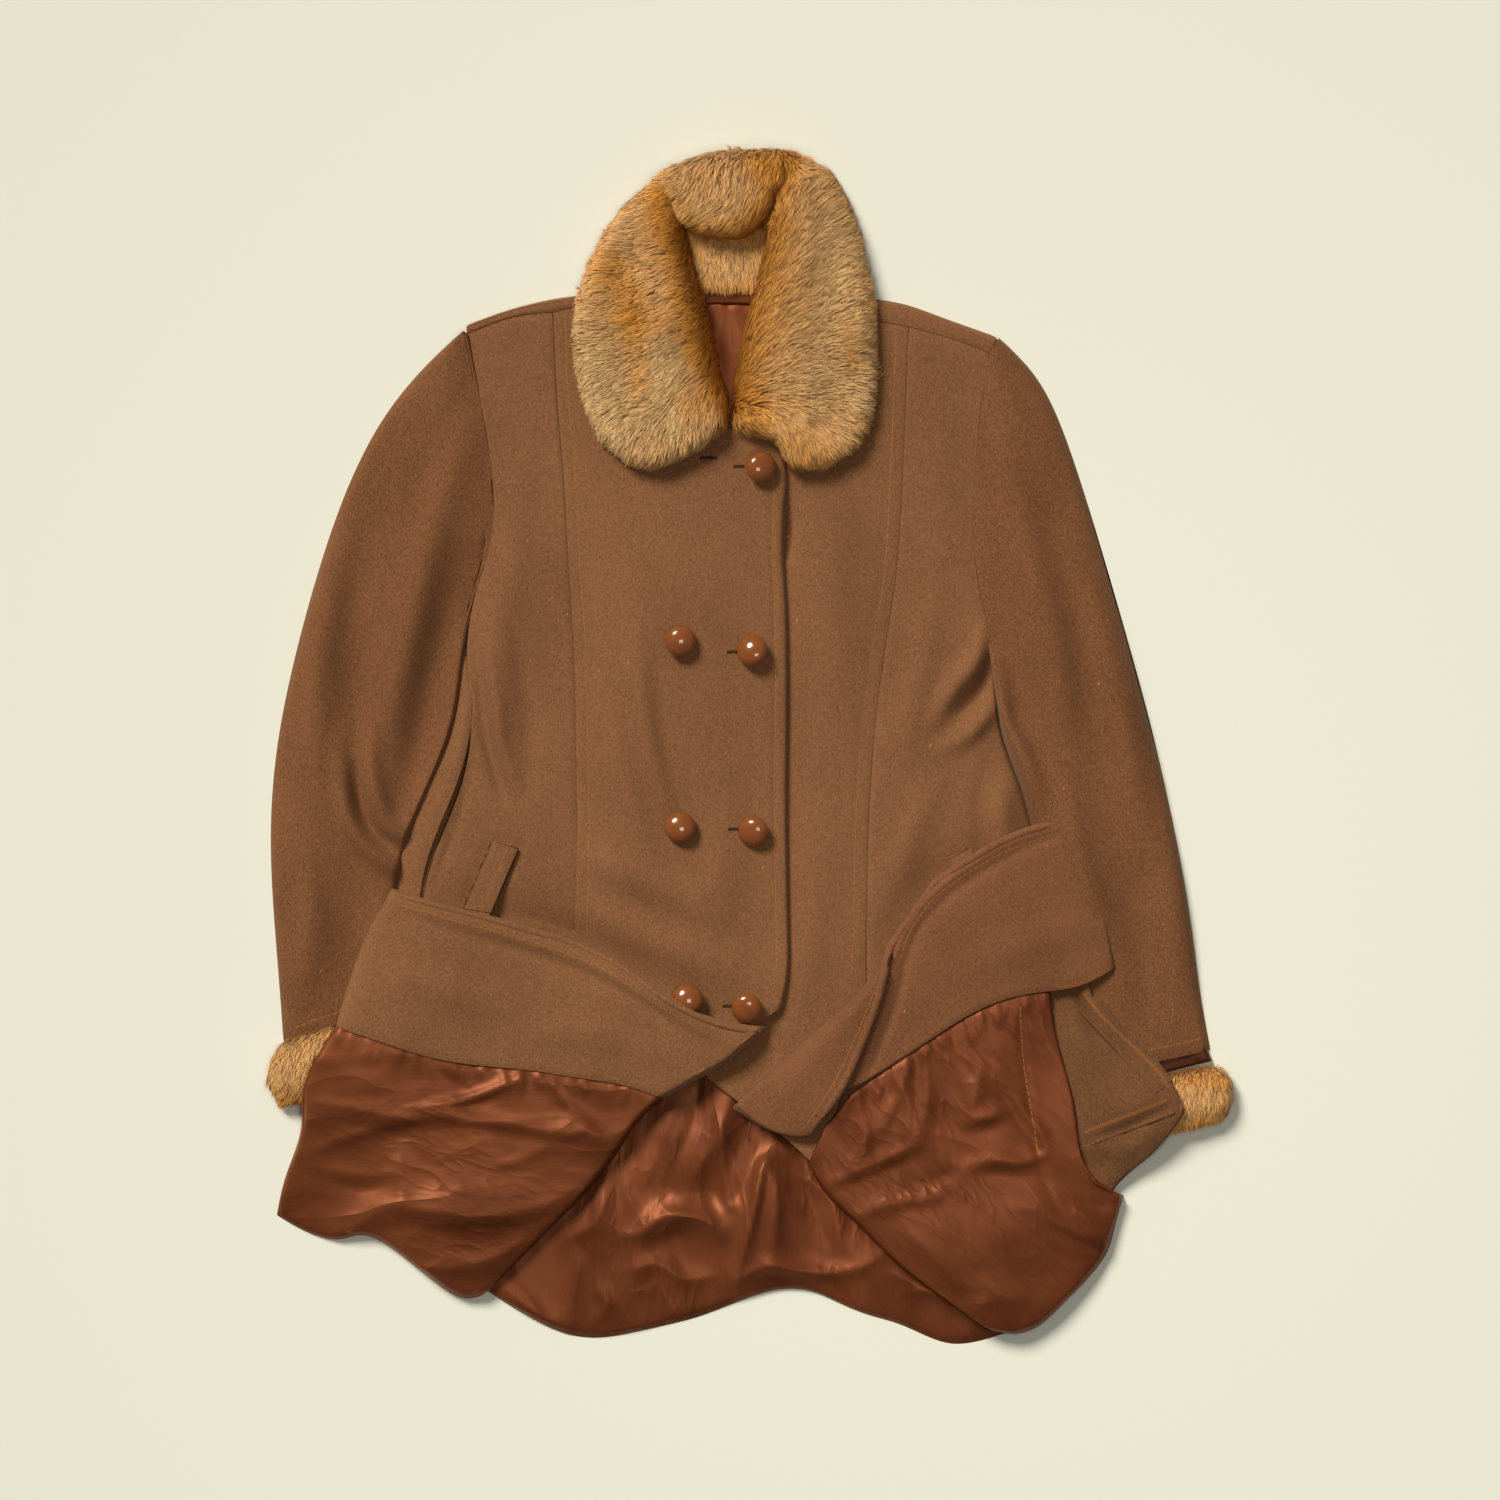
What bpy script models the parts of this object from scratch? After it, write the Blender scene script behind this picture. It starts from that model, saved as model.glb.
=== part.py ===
# A lined wool coat with a fur collar and cuffs, laid out on its back, skirt fronts folded open.
# +X is the photo's right, +Y runs up to the collar, +Z is up from the floor.
# "Right" and "left" in a name are the wearer's, so the right front lies at -X.
import math

import bpy
import bmesh
from mathutils import Vector
from mathutils.bvhtree import BVHTree

MM = 0.001

# Sizes in millimetres: wool with its interlining and own lining, the lining alone, a pocket welt.
WOOL = 4.0
SATIN = 1.6
WELT = 2.5
CUFF_HEIGHT = 21.0    # two thicknesses of fur cloth and their pile
BUTTON_ACROSS = 25.4
BUTTON_HEIGHT = 13.0

CLEAR = 0.3           # between pieces that touch
SEAM = 0.32           # between panels joined side by side
PUFF = 3.0            # how far the fronts stand off what they lie on at the middle of the coat
HALF_WIDTH = 250.0    # of the body, where the puff has died away
PROBE_STEP = 5.0      # spacing of the probes that feel for what lies under a point
FOOT_REACH = 4.0      # how far round its rim a rolled edge looks for what it rests on
REACH = 12.0          # how far ahead cloth starts to rise over a step
FLAP_REACH = 17.0     # the same for the folded skirt fronts, thick at their fold
DIP_STEP = 1.5        # spacing of the probes that test a finished face
MOST_LIFTS = 30       # rounds of raising a piece off its bed
MOST_MARGIN = 1.2     # added clearance of a steep face between its probes
GAP_LIMIT = 3.4       # cloth standing higher than this has hidden gathers under it, part of its solid
SEAM_ROLL = 1.5       # rounding of an edge where it is sewn down
FUR_RIM = 0.8         # of a fur piece's edge on its bed
SQUARE = 20.0         # side of the squares that a bed's corners are sorted into
SKY = 500.0           # where the probes start from
FOLD_ENDS = 0.12      # how much of a fold's full height is cut off its run at each end
TURN_SHARE = 0.08     # share of a side over which an edge starts to roll
ROLL_ANGLES = (0.0, 32.0, 62.0)

# The coat's plan: each line is read from x and y in millimetres, from its first point to its last.
LINES = {
    "right armhole": [(-233, 341), (-225, 303), (-218, 262), (-212, 223), (-208, 201), (-212, 172),
                      (-221, 142)],
    "right outer arm": [(-236, 343), (-262, 321), (-303, 271), (-334, 207), (-359, 131), (-380, 49),
                        (-390, -8), (-394, -66), (-392, -123), (-387, -184), (-383, -240)],
    "right inner arm": [(-221, 142), (-235, 90), (-240, 32), (-250, 0), (-272, -49), (-288, -90),
                        (-292, -123), (-291, -164), (-284, -207)],
    "right cuff line": [(-383, -240), (-370, -237), (-344, -226), (-284, -207)],
    "right lower side": [(-284, -207), (-281, -245), (-287, -303), (-290, -369), (-266, -410)],
    "right side seam": [(-233, 62), (-229, 35), (-226, 2), (-240, -42), (-256, -80), (-270, -116),
                        (-272, -172), (-267, -254), (-263, -336), (-256, -400)],
    "right princess": [(-162, 359), (-159, 287), (-153, 221), (-149, 141), (-145, 90), (-143, -4),
                       (-142, -80), (-144, -154), (-148, -238), (-156, -303), (-166, -366)],
    "right front edge": [(22, 254), (29, 244), (31, 228), (29, 197), (27, 164), (30, 120), (31, 41),
                         (30, -41), (31, -123), (32, -184), (26, -210)],
    "right shoulder seam": [(-233, 341), (-213, 349), (-193, 356), (-162, 359)],
    "right neck": [(-162, 359), (-123, 366), (-90, 332), (-57, 283), (-23, 262), (4, 260), (22, 254)],
    "right body fold": [(-166, -366), (-125, -336), (-82, -285), (-41, -259), (-8, -235), (26, -210)],
    "left front edge": [(-78, 254), (-82, 189), (-82, 41), (-82, -123), (-72, -205), (-41, -262),
                        (-7, -290)],
    "left princess": [(130, 347), (126, 244), (121, 150), (112, 92), (102, 15), (97, -61), (95, -183),
                      (97, -254), (107, -328), (127, -402)],
    "left armhole": [(197, 325), (191, 303), (186, 254), (184, 205), (182, 184), (184, 148), (191, 115),
                     (197, 86)],
    "left lower side": [(280, -267), (284, -312), (279, -369), (246, -440)],
    "left neck": [(-78, 254), (-23, 262), (16, 283), (41, 320), (74, 354), (101, 352), (130, 347)],
    "left shoulder seam": [(130, 347), (173, 335), (197, 325)],
    "left body fold": [(-7, -290), (41, -328), (90, -379), (127, -402)],
    "left side fold": [(127, -402), (172, -440), (210, -458), (246, -440)],
    "left inner arm": [(197, 86), (200, 55), (207, 8), (222, -23), (232, -62), (248, -123), (264, -189),
                       (280, -267)],
    "left outer arm": [(205, 338), (223, 326), (242, 299), (256, 266), (280, 193), (310, 90), (336, -8),
                       (359, -123), (371, -213), (378, -246)],
    "left cuff line": [(280, -267), (330, -256), (378, -246)],
    "back top": [(-233, 341), (-200, 345), (-178, 354), (-139, 361), (-19, 365), (90, 360), (127, 353),
                 (160, 341), (190, 328), (197, 325)],
    "back right": [(-221, 142), (-220, 90), (-222, 36), (-233, -4), (-254, -54), (-269, -95),
                   (-272, -123), (-271, -172), (-267, -238), (-274, -303), (-277, -366), (-256, -400)],
    "back left": [(197, 86), (182, 49), (193, 4), (206, -26), (214, -66), (229, -126), (243, -191),
                  (258, -256), (270, -313), (266, -366), (236, -428)],
    "back hem": [(-256, -400), (-216, -432), (-184, -450), (-153, -466), (-123, -470), (-82, -461),
                 (-8, -438), (25, -428), (53, -430), (92, -450), (130, -457), (160, -473), (205, -463),
                 (236, -428)],
    "right shoulder top": [(-231, 348), (-204, 358), (-180, 365), (-162, 369), (-139, 372),
                           (-120, 374)],
    "right shoulder low": [(-231, 343.5), (-213, 350.5), (-193, 357.5), (-162, 361), (-139, 366),
                           (-120, 369)],
    "left shoulder top": [(84, 371), (101, 369), (127, 365), (160, 353), (201, 338.5)],
    "left shoulder low": [(84, 355.5), (101, 353.5), (130, 348.8), (173, 336.8), (196, 327)],
    "right flap edge": [(-294, -114), (-257, -126), (-217, -135), (-178, -146), (-147, -156),
                        (-115, -169), (-99, -180), (-76, -196), (-52, -210), (-29, -221), (-1, -229),
                        (15, -226)],
    "right wool hem": [(-294, -114), (-304, -128), (-316, -154), (-331, -196), (-339, -226)],
    "right facing seam": [(-339, -226), (-300, -239), (-261, -252), (-226, -258), (-170, -263),
                          (-139, -269), (-102, -273), (-70, -285)],
    "right wool fold": [(15, -226), (-2, -243), (-21, -257), (-44, -271), (-70, -285)],
    "right lining hem": [(-339, -226), (-360, -259), (-369, -279), (-367, -312), (-377, -338),
                         (-386, -361), (-389, -383)],
    "right lining foot": [(-389, -383), (-372, -394), (-339, -405), (-316, -397), (-285, -417),
                          (-266, -433), (-242, -451), (-230, -456), (-216, -445)],
    "right lining fold": [(-70, -285), (-97, -308), (-107, -329), (-121, -349), (-150, -379),
                          (-178, -407), (-216, -445)],
    "left flap edge": [(34, -290), (52, -265), (72, -235), (94, -205), (113, -168), (124, -141),
                       (143, -115), (166, -96), (203, -74), (233, -62), (257, -57)],
    "left wool hem": [(257, -57), (266, -67), (280, -98), (294, -145), (299, -178)],
    "left facing seam": [(76, -280), (106, -264), (139, -243), (176, -218), (212, -202), (246, -197)],
    "left facing corner": [(246, -197), (272, -195), (290, -190), (299, -178)],
    "left facing end": [(34, -290), (45, -297), (59, -291), (76, -280)],
    "left lining top": [(82, -284), (106, -267), (139, -245.2), (176, -220), (212, -204), (246, -199)],
    "left lining fold": [(82, -284), (56, -316), (48, -336), (53, -361), (82, -381), (111, -414),
                         (148, -443), (193, -474)],
    "left lining hem": [(246, -199), (248, -226), (255, -253), (266, -291), (271, -340), (292, -362),
                        (307, -367)],
    "left lining foot": [(193, -474), (226, -484), (254, -459), (283, -430), (297, -410), (299, -394),
                         (307, -367)],
    "right shell top": [(-278, -130), (-250, -141), (-210, -151), (-170, -163), (-110, -188),
                        (-60, -221), (-20, -244)],
    "right shell fold": [(-20, -244), (-50, -263), (-84, -283), (-114, -308), (-132, -338),
                         (-162, -369), (-190, -397), (-222, -430)],
    "right shell hem": [(-278, -130), (-300, -160), (-315, -198), (-326, -232), (-347, -264),
                        (-355, -284), (-353, -315), (-363, -342), (-374, -374)],
    "right shell foot": [(-374, -374), (-345, -390), (-316, -382), (-285, -402), (-244, -434),
                         (-222, -430)],
    "left shell hem": [(252, -80), (266, -106), (279, -150), (280, -180), (276, -200), (291, -217),
                       (313, -234), (339, -257), (349, -279), (356, -296)],
    "left shell fold": [(240, -74), (205, -89), (172, -111), (152, -130), (138, -152), (124, -184),
                        (104, -216), (86, -248), (74, -280), (68, -312), (62, -338)],
    "left shell foot": [(62, -338), (70, -354), (94, -374), (122, -404), (156, -434), (196, -460),
                        (226, -468), (250, -446), (272, -420), (283, -400), (291, -362), (301, -351),
                        (329, -340), (344, -318), (356, -296)],
    "turn outer": [(112, -172), (81, -208), (49, -235), (26, -258), (0, -279), (-15, -294)],
    "turn inner": [(116, -164), (107, -203), (95, -235), (79, -272), (64, -296), (51, -317)],
    "turn end": [(-15, -294), (-10, -304), (16, -315), (43, -324), (51, -317)],
    "skirt lining top": [(-123, -205), (8, -197), (123, -205)],
    "skirt lining right": [(-123, -205), (-172, -287), (-236, -381), (-232, -434)],
    "skirt lining left": [(123, -205), (172, -303), (226, -394), (238, -469)],
    "skirt lining hem": [(-232, -434), (-208, -451), (-184, -465), (-153, -481), (-125, -485),
                         (-81, -476), (-42, -467), (-8, -453), (21, -443), (52, -444), (80, -459),
                         (108, -469), (130, -473), (157, -490), (184, -488), (208, -481), (238, -469)],
    "right fall outer": [(-71, 469), (-93, 453), (-112, 430), (-128, 403), (-137, 376), (-141, 344),
                         (-138, 311), (-131, 283), (-124, 258), (-109, 241), (-86, 233)],
    "right fall inner": [(-64, 462), (-58, 443), (-53, 418), (-48, 395), (-43, 376), (-35, 353),
                         (-30, 328), (-28, 305), (-18, 292), (-17, 275), (-26, 262)],
    "right fall end": [(-86, 233), (-66, 237), (-44, 248), (-26, 262)],
    "left fall inner": [(38, 485), (23, 462), (16, 439), (15, 414), (11, 395), (7, 373), (2, 358),
                        (-2, 339), (-7, 320), (-11, 303), (-12, 286), (-12, 264)],
    "left fall outer": [(48, 490), (57, 481), (74, 456), (87, 421), (97, 376), (100, 348), (100, 311),
                        (98, 283), (89, 256)],
    "left fall end": [(-12, 264), (21, 257), (30, 245), (33, 234), (52, 230), (70, 237), (89, 256)],
    "back roll top": [(-70, 471.5), (-50, 481), (-28, 488), (14, 490), (37, 490)],
    "back roll right": [(-70, 471.5), (-63, 462.5), (-57, 444), (-55.6, 436)],
    "back roll left": [(37, 490), (20, 464), (13, 440)],
    "back roll low": [(-55.6, 436), (-41, 425), (-20, 421), (0, 426), (13, 440)],
    "stand right": [(-50, 417), (-45, 395), (-40, 377)],
    "stand left": [(12, 417), (8, 395), (4, 377)],
}

# The largest folds, as soft ridges: what they are on, height and half width in mm, and their crest.
FOLDS = [
    ("right sleeve", 7, 26, [(-225, 215), (-255, 150), (-280, 80)]),
    ("right sleeve", 6, 24, [(-330, 150), (-345, 60), (-345, -20)]),
    ("right sleeve", 6, 13, [(-300, -30), (-318, -70), (-296, -100)]),
    ("right sleeve", 5, 12, [(-262, -40), (-285, -72)]),
    ("left sleeve", 7, 26, [(205, 190), (235, 110), (262, 40)]),
    ("left sleeve", 6, 22, [(215, 60), (250, -20), (280, -90)]),
    ("left sleeve", 5, 20, [(290, 110), (318, 0), (330, -100)]),
    ("body", 8, 17, [(-210, 120), (-205, 50), (-196, -15)]),
    ("body", 6, 14, [(-226, 25), (-222, -40), (-238, -90)]),
    ("body", 5, 24, [(-170, -20), (-185, -90)]),
    ("body", 5, 30, [(-60, 190), (-40, 130), (-10, 90)]),
    ("body", 8, 16, [(184, 100), (172, 60), (152, 30)]),
    ("body", 6, 20, [(186, 20), (196, -30), (205, -70)]),
    ("body", 5, 26, [(60, 190), (70, 60), (64, -90)]),
    ("right lining", 8, 9, [(-352, -285), (-290, -300), (-235, -292), (-150, -276)]),
    ("right lining", 7, 11, [(-330, -335), (-270, -325), (-190, -318), (-120, -312)]),
    ("right lining", 8, 16, [(-330, -385), (-270, -372), (-220, -376), (-165, -350)]),
    ("left lining", 8, 9, [(106, -290), (96, -330), (70, -364)]),
    ("left lining", 7, 10, [(150, -250), (140, -300), (150, -345), (135, -375)]),
    ("left lining", 8, 13, [(215, -215), (190, -280), (215, -330), (255, -345)]),
    ("left lining", 9, 20, [(140, -400), (190, -400), (255, -385)]),
    ("back lining", 16, 11, [(8, -325), (-4, -360), (-12, -400), (5, -432)]),
    ("back lining", 15, 12, [(12, -325), (24, -370), (22, -420)]),
    ("back lining", 17, 10, [(-97, -398), (-62, -384), (-30, -392), (-12, -412)]),
    ("back lining", 11, 12, [(-66, -290), (-56, -330), (-66, -375)]),
    ("back lining", 9, 11, [(-108, -330), (-112, -390), (-104, -455)]),
    ("back lining", 10, 12, [(-30, -262), (-22, -300), (-36, -350)]),
    ("back lining", 8, 16, [(60, -380), (95, -425), (130, -440)]),
    ("shell", 5, 18, [(290, -215), (300, -260), (318, -290)]),
    ("facing", 3, 22, [(-250, -170), (-150, -205), (-60, -245)]),
    ("left facing", 4, 16, [(250, -90), (190, -120), (150, -165), (128, -215)]),
    ("right fall", 9, 22, [(-66, 450), (-66, 400), (-52, 345), (-38, 300)]),
    ("left fall", 9, 22, [(40, 455), (34, 400), (20, 345), (8, 295)]),
]


def smooth_line(points, count):
    """A Catmull-Rom curve through the points, cut into equal lengths."""
    fine = []
    last = len(points) - 1
    for index in range(last):
        before = Vector(points[max(index - 1, 0)])
        start = Vector(points[index])
        end = Vector(points[index + 1])
        after = Vector(points[min(index + 2, last)])
        for step in range(12):
            t = step / 12
            fine.append(0.5 * (2 * start + (end - before) * t
                               + (2 * before - 5 * start + 4 * end - after) * t * t
                               + (3 * start - before - 3 * end + after) * t ** 3))
    fine.append(Vector(points[last]))
    travelled = [0.0]
    for a, b in zip(fine, fine[1:]):
        travelled.append(travelled[-1] + (b - a).length)
    cut = []
    at = 0
    for index in range(count + 1):
        want = travelled[-1] * index / count
        while at < len(fine) - 2 and travelled[at + 1] < want:
            at += 1
        part = (want - travelled[at]) / (travelled[at + 1] - travelled[at])
        cut.append(fine[at].lerp(fine[at + 1], part))
    return cut


def side_line(*parts):
    """Several plan lines end to end, each cut into its own number of rows."""
    whole = []
    for name, count in parts:
        cut = smooth_line(LINES[name], count)
        whole += cut if not whole else cut[1:]
    return whole


def straight(a, b, count):
    return [a.lerp(b, index / count) for index in range(count + 1)]


class Plan:
    """A four-sided cut of cloth in plan: left and right edges, and a top and a bottom between them."""

    def __init__(self, left, right, columns, top=None, bottom=None):
        self.left, self.right = left, right
        self.rows, self.columns = len(left) - 1, columns
        self.top = side_line((top, columns)) if top else straight(left[0], right[0], columns)
        self.bottom = side_line((bottom, columns)) if bottom else straight(left[-1], right[-1], columns)

    def at(self, across, down):
        """The point at two fractions, each from 0 to 1."""
        top = read_line(self.top, across)
        bottom = read_line(self.bottom, across)
        left = read_line(self.left, down)
        right = read_line(self.right, down)
        top_corners = self.left[0].lerp(self.right[0], across)
        bottom_corners = self.left[-1].lerp(self.right[-1], across)
        return top.lerp(bottom, down) + left.lerp(right, across) - top_corners.lerp(bottom_corners, down)

    def width(self, down):
        return (read_line(self.right, down) - read_line(self.left, down)).length

    def length(self, across):
        total = 0.0
        steps = [self.at(across, index / self.rows) for index in range(self.rows + 1)]
        for a, b in zip(steps, steps[1:]):
            total += (b - a).length
        return total


def read_line(line, fraction):
    place = min(max(fraction, 0.0), 1.0) * (len(line) - 1)
    index = min(int(place), len(line) - 2)
    return line[index].lerp(line[index + 1], place - index)


def fold_height(kind, x, y):
    """How much the folds of one kind raise the cloth at a point."""
    height = 0.0
    for name, rise, half_width, crest in FOLDS:
        if name != kind:
            continue
        nearest, along = crest_distance(crest, x, y)
        swell = math.sin(math.pi * (FOLD_ENDS + (1 - 2 * FOLD_ENDS) * along))
        height += rise * math.exp(-(nearest / half_width) ** 2) * swell
    return height


def crest_distance(crest, x, y):
    """The distance from a point to a fold's crest, and how far along the crest it is."""
    point = Vector((x, y))
    best = (1e9, 0.0)
    parts = len(crest) - 1
    for index in range(parts):
        start = Vector(crest[index])
        run = Vector(crest[index + 1]) - start
        t = min(max((point - start).dot(run) / run.length_squared, 0.0), 1.0)
        best = min(best, ((point - start - run * t).length, (index + t) / parts))
    return best


def material(name, colour, roughness):
    shade = bpy.data.materials.new(name)
    shade.use_nodes = True
    surface = shade.node_tree.nodes["Principled BSDF"]
    surface.inputs["Base Color"].default_value = (*colour, 1.0)
    surface.inputs["Roughness"].default_value = roughness
    surface.inputs["Metallic"].default_value = 0.0
    return shade


built = {}


class Bed:
    """What a piece lies on: the pieces named, or the bare floor at height 0."""

    def __init__(self, names):
        points, faces = [], []
        for name in names:
            mesh = built[name].data
            first = len(points)
            points += [vertex.co / MM for vertex in mesh.vertices]
            faces += [tuple(first + index for index in face.vertices) for face in mesh.polygons]
        self.tree = BVHTree.FromPolygons(points, faces) if points else None
        self.corners = {}
        for point in points:
            square = (int(point.x // SQUARE), int(point.y // SQUARE))
            self.corners.setdefault(square, []).append(point)

    def top(self, x, y):
        """The height at which cloth clears what lies under one point."""
        if self.tree is None:
            return 0.0
        hit = self.tree.ray_cast(Vector((x, y, SKY)), Vector((0, 0, -1)))[0]
        return hit.z + CLEAR if hit is not None else 0.0

    def height(self, x, y, reach):
        """The same for the highest thing within reach of a point."""
        rings = max(1, math.ceil(reach / PROBE_STEP))
        highest = 0.0
        for i in range(-rings, rings + 1):
            for j in range(-rings, rings + 1):
                if i * i + j * j <= rings * rings * 1.01:
                    highest = max(highest, self.top(x + i * reach / rings, y + j * reach / rings))
        return highest


def settle(grid):
    """Cloth bridges a hollow: no point may lie below the mean of its neighbours along a row or column."""
    rows, columns = len(grid), len(grid[0])
    for _ in range(2):
        before = [line[:] for line in grid]
        for i in range(rows):
            for j in range(columns):
                beside = []
                if 0 < i < rows - 1:
                    beside.append((before[i - 1][j] + before[i + 1][j]) / 2)
                if 0 < j < columns - 1:
                    beside.append((before[i][j - 1] + before[i][j + 1]) / 2)
                if beside:
                    grid[i][j] = max(before[i][j], sum(beside) / len(beside))


def roll_at(edge, down):
    """An edge's roll radius at a fraction of its side, and how far it turns down to its bed."""
    radius, after = edge if isinstance(edge, tuple) else (edge, 0.0)
    if not radius:
        return 0.0, 0.0
    turned = min(max((down - after) / TURN_SHARE, 0.0), 1.0) if after else 1.0
    return SEAM_ROLL + (radius - SEAM_ROLL) * turned, turned


def stations(length, start, end, wall, cells):
    """Places along a side: the outer face's fraction, the inner face's, and how far each has risen."""
    limit = length * 0.4
    margin = SEAM / 2
    start_radius, end_radius = min(start[0], limit), min(end[0], limit)
    low, high = (margin + start_radius) / length, 1 - (margin + end_radius) / length
    middle = [low + (high - low) * index / cells for index in range(cells + 1)]
    places = [(spot, spot, 1.0) for spot in middle]
    if start_radius:
        places = edge_roll(length, start_radius, start[1], wall) + places
    if end_radius:
        mirrored = edge_roll(length, end_radius, end[1], wall)
        places += [(1 - outer, 1 - inner, rise) for outer, inner, rise in reversed(mirrored)]
    return places


def edge_roll(length, radius, turned, wall):
    """The rounded part of one edge, from the rim inwards."""
    inside = radius - min(wall, radius * 0.7)
    places = []
    for angle in ROLL_ANGLES:
        turn = math.radians(angle)
        outer = SEAM / 2 + radius - radius * math.cos(turn)
        inner = SEAM / 2 + radius - inside * math.cos(turn)
        places.append((outer / length, inner / length, 1 - turned * (1 - math.sin(turn))))
    return places


def lay(name, shade, plan, on=(), wall=WOOL, folds="", puff=0.0, crown=0.0, roll=(0, 0, 0, 0),
        reach=REACH, solid=0.0, level=0.0):
    """Lays one piece on those named.

    wall is the cloth's thickness. puff lifts the fronts together, crown lifts this piece along its middle.
    roll gives the radius of the left, right, top and bottom edge, or (radius, fraction where it starts).
    A piece with a solid height is filled from its bed up, and reaches at least to level."""
    bed = Bed(on)
    rim = FUR_RIM if solid else wall
    left, right, top_edge, bottom_edge = roll
    downs = stations(plan.length(0.5), roll_at(top_edge, 0.5), roll_at(bottom_edge, 0.5), rim, plan.rows)
    rows = []
    for down, _, _ in downs:
        rows.append(stations(max(plan.width(down), 4.0), roll_at(left, down), roll_at(right, down), rim,
                             plan.columns))
    columns = len(rows[0])
    floors = []
    for i, (down, _, _) in enumerate(downs):
        spots = [plan.at(rows[i][j][0], down) for j in range(columns)]
        floors.append([bed.height(spot.x, spot.y, reach) for spot in spots])
    if on:
        settle(floors)
    outer, inner = [], []
    for i, (down, down_inside, down_rise) in enumerate(downs):
        for j in range(columns):
            across, across_inside, across_rise = rows[i][j]
            spot = plan.at(across, down)
            under = plan.at(across_inside, down_inside)
            foot = bed.height(spot.x, spot.y, FOOT_REACH)
            floor = floors[i][j]
            lift = puff * max(0.0, 1 - (spot.x / HALF_WIDTH) ** 4) + crown * math.sin(math.pi * across)
            lift += fold_height(folds, spot.x, spot.y)
            if solid:
                top, bottom = max(floor + solid, level) + lift, foot
            else:
                top, bottom = floor + lift + wall, floor + min(lift, GAP_LIMIT)
            rise = down_rise * across_rise
            outer.append([spot.x, spot.y, foot + (top - foot) * rise])
            inner.append([under.x, under.y, foot + (bottom - foot) * rise])
    make_shell(name, shade, bed, outer, inner, len(downs), columns)


def make_shell(name, shade, bed, outer, inner, rows, columns):
    """Makes one closed body of an upper and a lower grid of points, clear of its bed."""
    count = rows * columns
    upper, lower = [], []
    for i in range(rows - 1):
        for j in range(columns - 1):
            a = i * columns + j
            b, c, d = a + columns, a + columns + 1, a + 1
            upper += [(a, b, c), (a, c, d)]
            lower += [(count + a, count + c, count + b), (count + a, count + d, count + c)]
    rim = [j for j in range(columns)]
    rim += [i * columns + columns - 1 for i in range(1, rows)]
    rim += [(rows - 1) * columns + j for j in range(columns - 2, -1, -1)]
    rim += [i * columns for i in range(rows - 2, 0, -1)]
    for a, b in zip(rim, rim[1:] + rim[:1]):
        lower += [(a, b, count + b), (a, count + b, count + a)]
    points = outer + inner
    if bed.tree is not None:
        clear_bed(bed, points, lower, count)
    mesh = bpy.data.meshes.new(name)
    mesh.from_pydata([(x * MM, y * MM, z * MM) for x, y, z in points], [], upper + lower)
    finish(name, shade, mesh)


def clear_bed(bed, points, lower, count):
    """Raises pairs of points, one above the other, until no lower face dips into the bed."""
    busy = lower
    for _ in range(MOST_LIFTS):
        short = [0.0] * count
        low = []
        for face in busy:
            dip = face_dip(bed, [points[index] for index in face])
            if dip > 0.0:
                low.append(face)
                for index in face:
                    short[index % count] = max(short[index % count], dip)
        if not low:
            break
        for index, rise in enumerate(short):
            points[index][2] += rise
            points[count + index][2] += rise
        moved = {index for index, rise in enumerate(short) if rise > 0.0}
        busy = [face for face in lower if any(index % count in moved for index in face)]


def face_dip(bed, corners):
    """How far one face lies below what would clear its bed."""
    a, b, c = (Vector(corner) for corner in corners)
    normal = (b - a).cross(c - a)
    flat = abs(normal.z)
    slope = normal.xy.length / max(flat, 1e-6)
    longest = max((b - a).xy.length, (c - b).xy.length, (a - c).xy.length)
    cuts = max(1, math.ceil(longest / DIP_STEP))
    margin = min(slope * longest / cuts, MOST_MARGIN)
    worst = 0.0
    for i in range(cuts + 1):
        for j in range(cuts + 1 - i):
            spot = a + (b - a) * (i / cuts) + (c - a) * (j / cuts)
            top = bed.top(spot.x, spot.y)
            if top > 0.0:
                worst = max(worst, top + margin - spot.z)
    return max(worst, corner_dip(bed, a, b, c))


def corner_dip(bed, a, b, c):
    """The same, tested at the bed's own corners under the face."""
    area = (b - a).xy.cross((c - a).xy)
    if abs(area) < 1e-3:
        return 0.0
    worst = 0.0
    for i in range(int(min(a.x, b.x, c.x) // SQUARE), int(max(a.x, b.x, c.x) // SQUARE) + 1):
        for j in range(int(min(a.y, b.y, c.y) // SQUARE), int(max(a.y, b.y, c.y) // SQUARE) + 1):
            for point in bed.corners.get((i, j), ()):
                away = point.xy - a.xy
                to_b = away.cross((c - a).xy) / area
                to_c = (b - a).xy.cross(away) / area
                if to_b > -0.02 and to_c > -0.02 and to_b + to_c < 1.02:
                    level = a.z + (b.z - a.z) * to_b + (c.z - a.z) * to_c
                    worst = max(worst, point.z + CLEAR - level)
    return worst


def finish(name, shade, mesh):
    """Turns every face outwards and puts the piece in the scene."""
    shape = bmesh.new()
    shape.from_mesh(mesh)
    bmesh.ops.triangulate(shape, faces=shape.faces[:])
    bmesh.ops.recalc_face_normals(shape, faces=shape.faces)
    shape.to_mesh(mesh)
    shape.free()
    mesh.shade_smooth()
    mesh.set_sharp_from_angle(angle=math.radians(40))
    mesh.materials.append(shade)
    piece = bpy.data.objects.new(name, mesh)
    bpy.context.scene.collection.objects.link(piece)
    built[name] = piece


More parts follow.
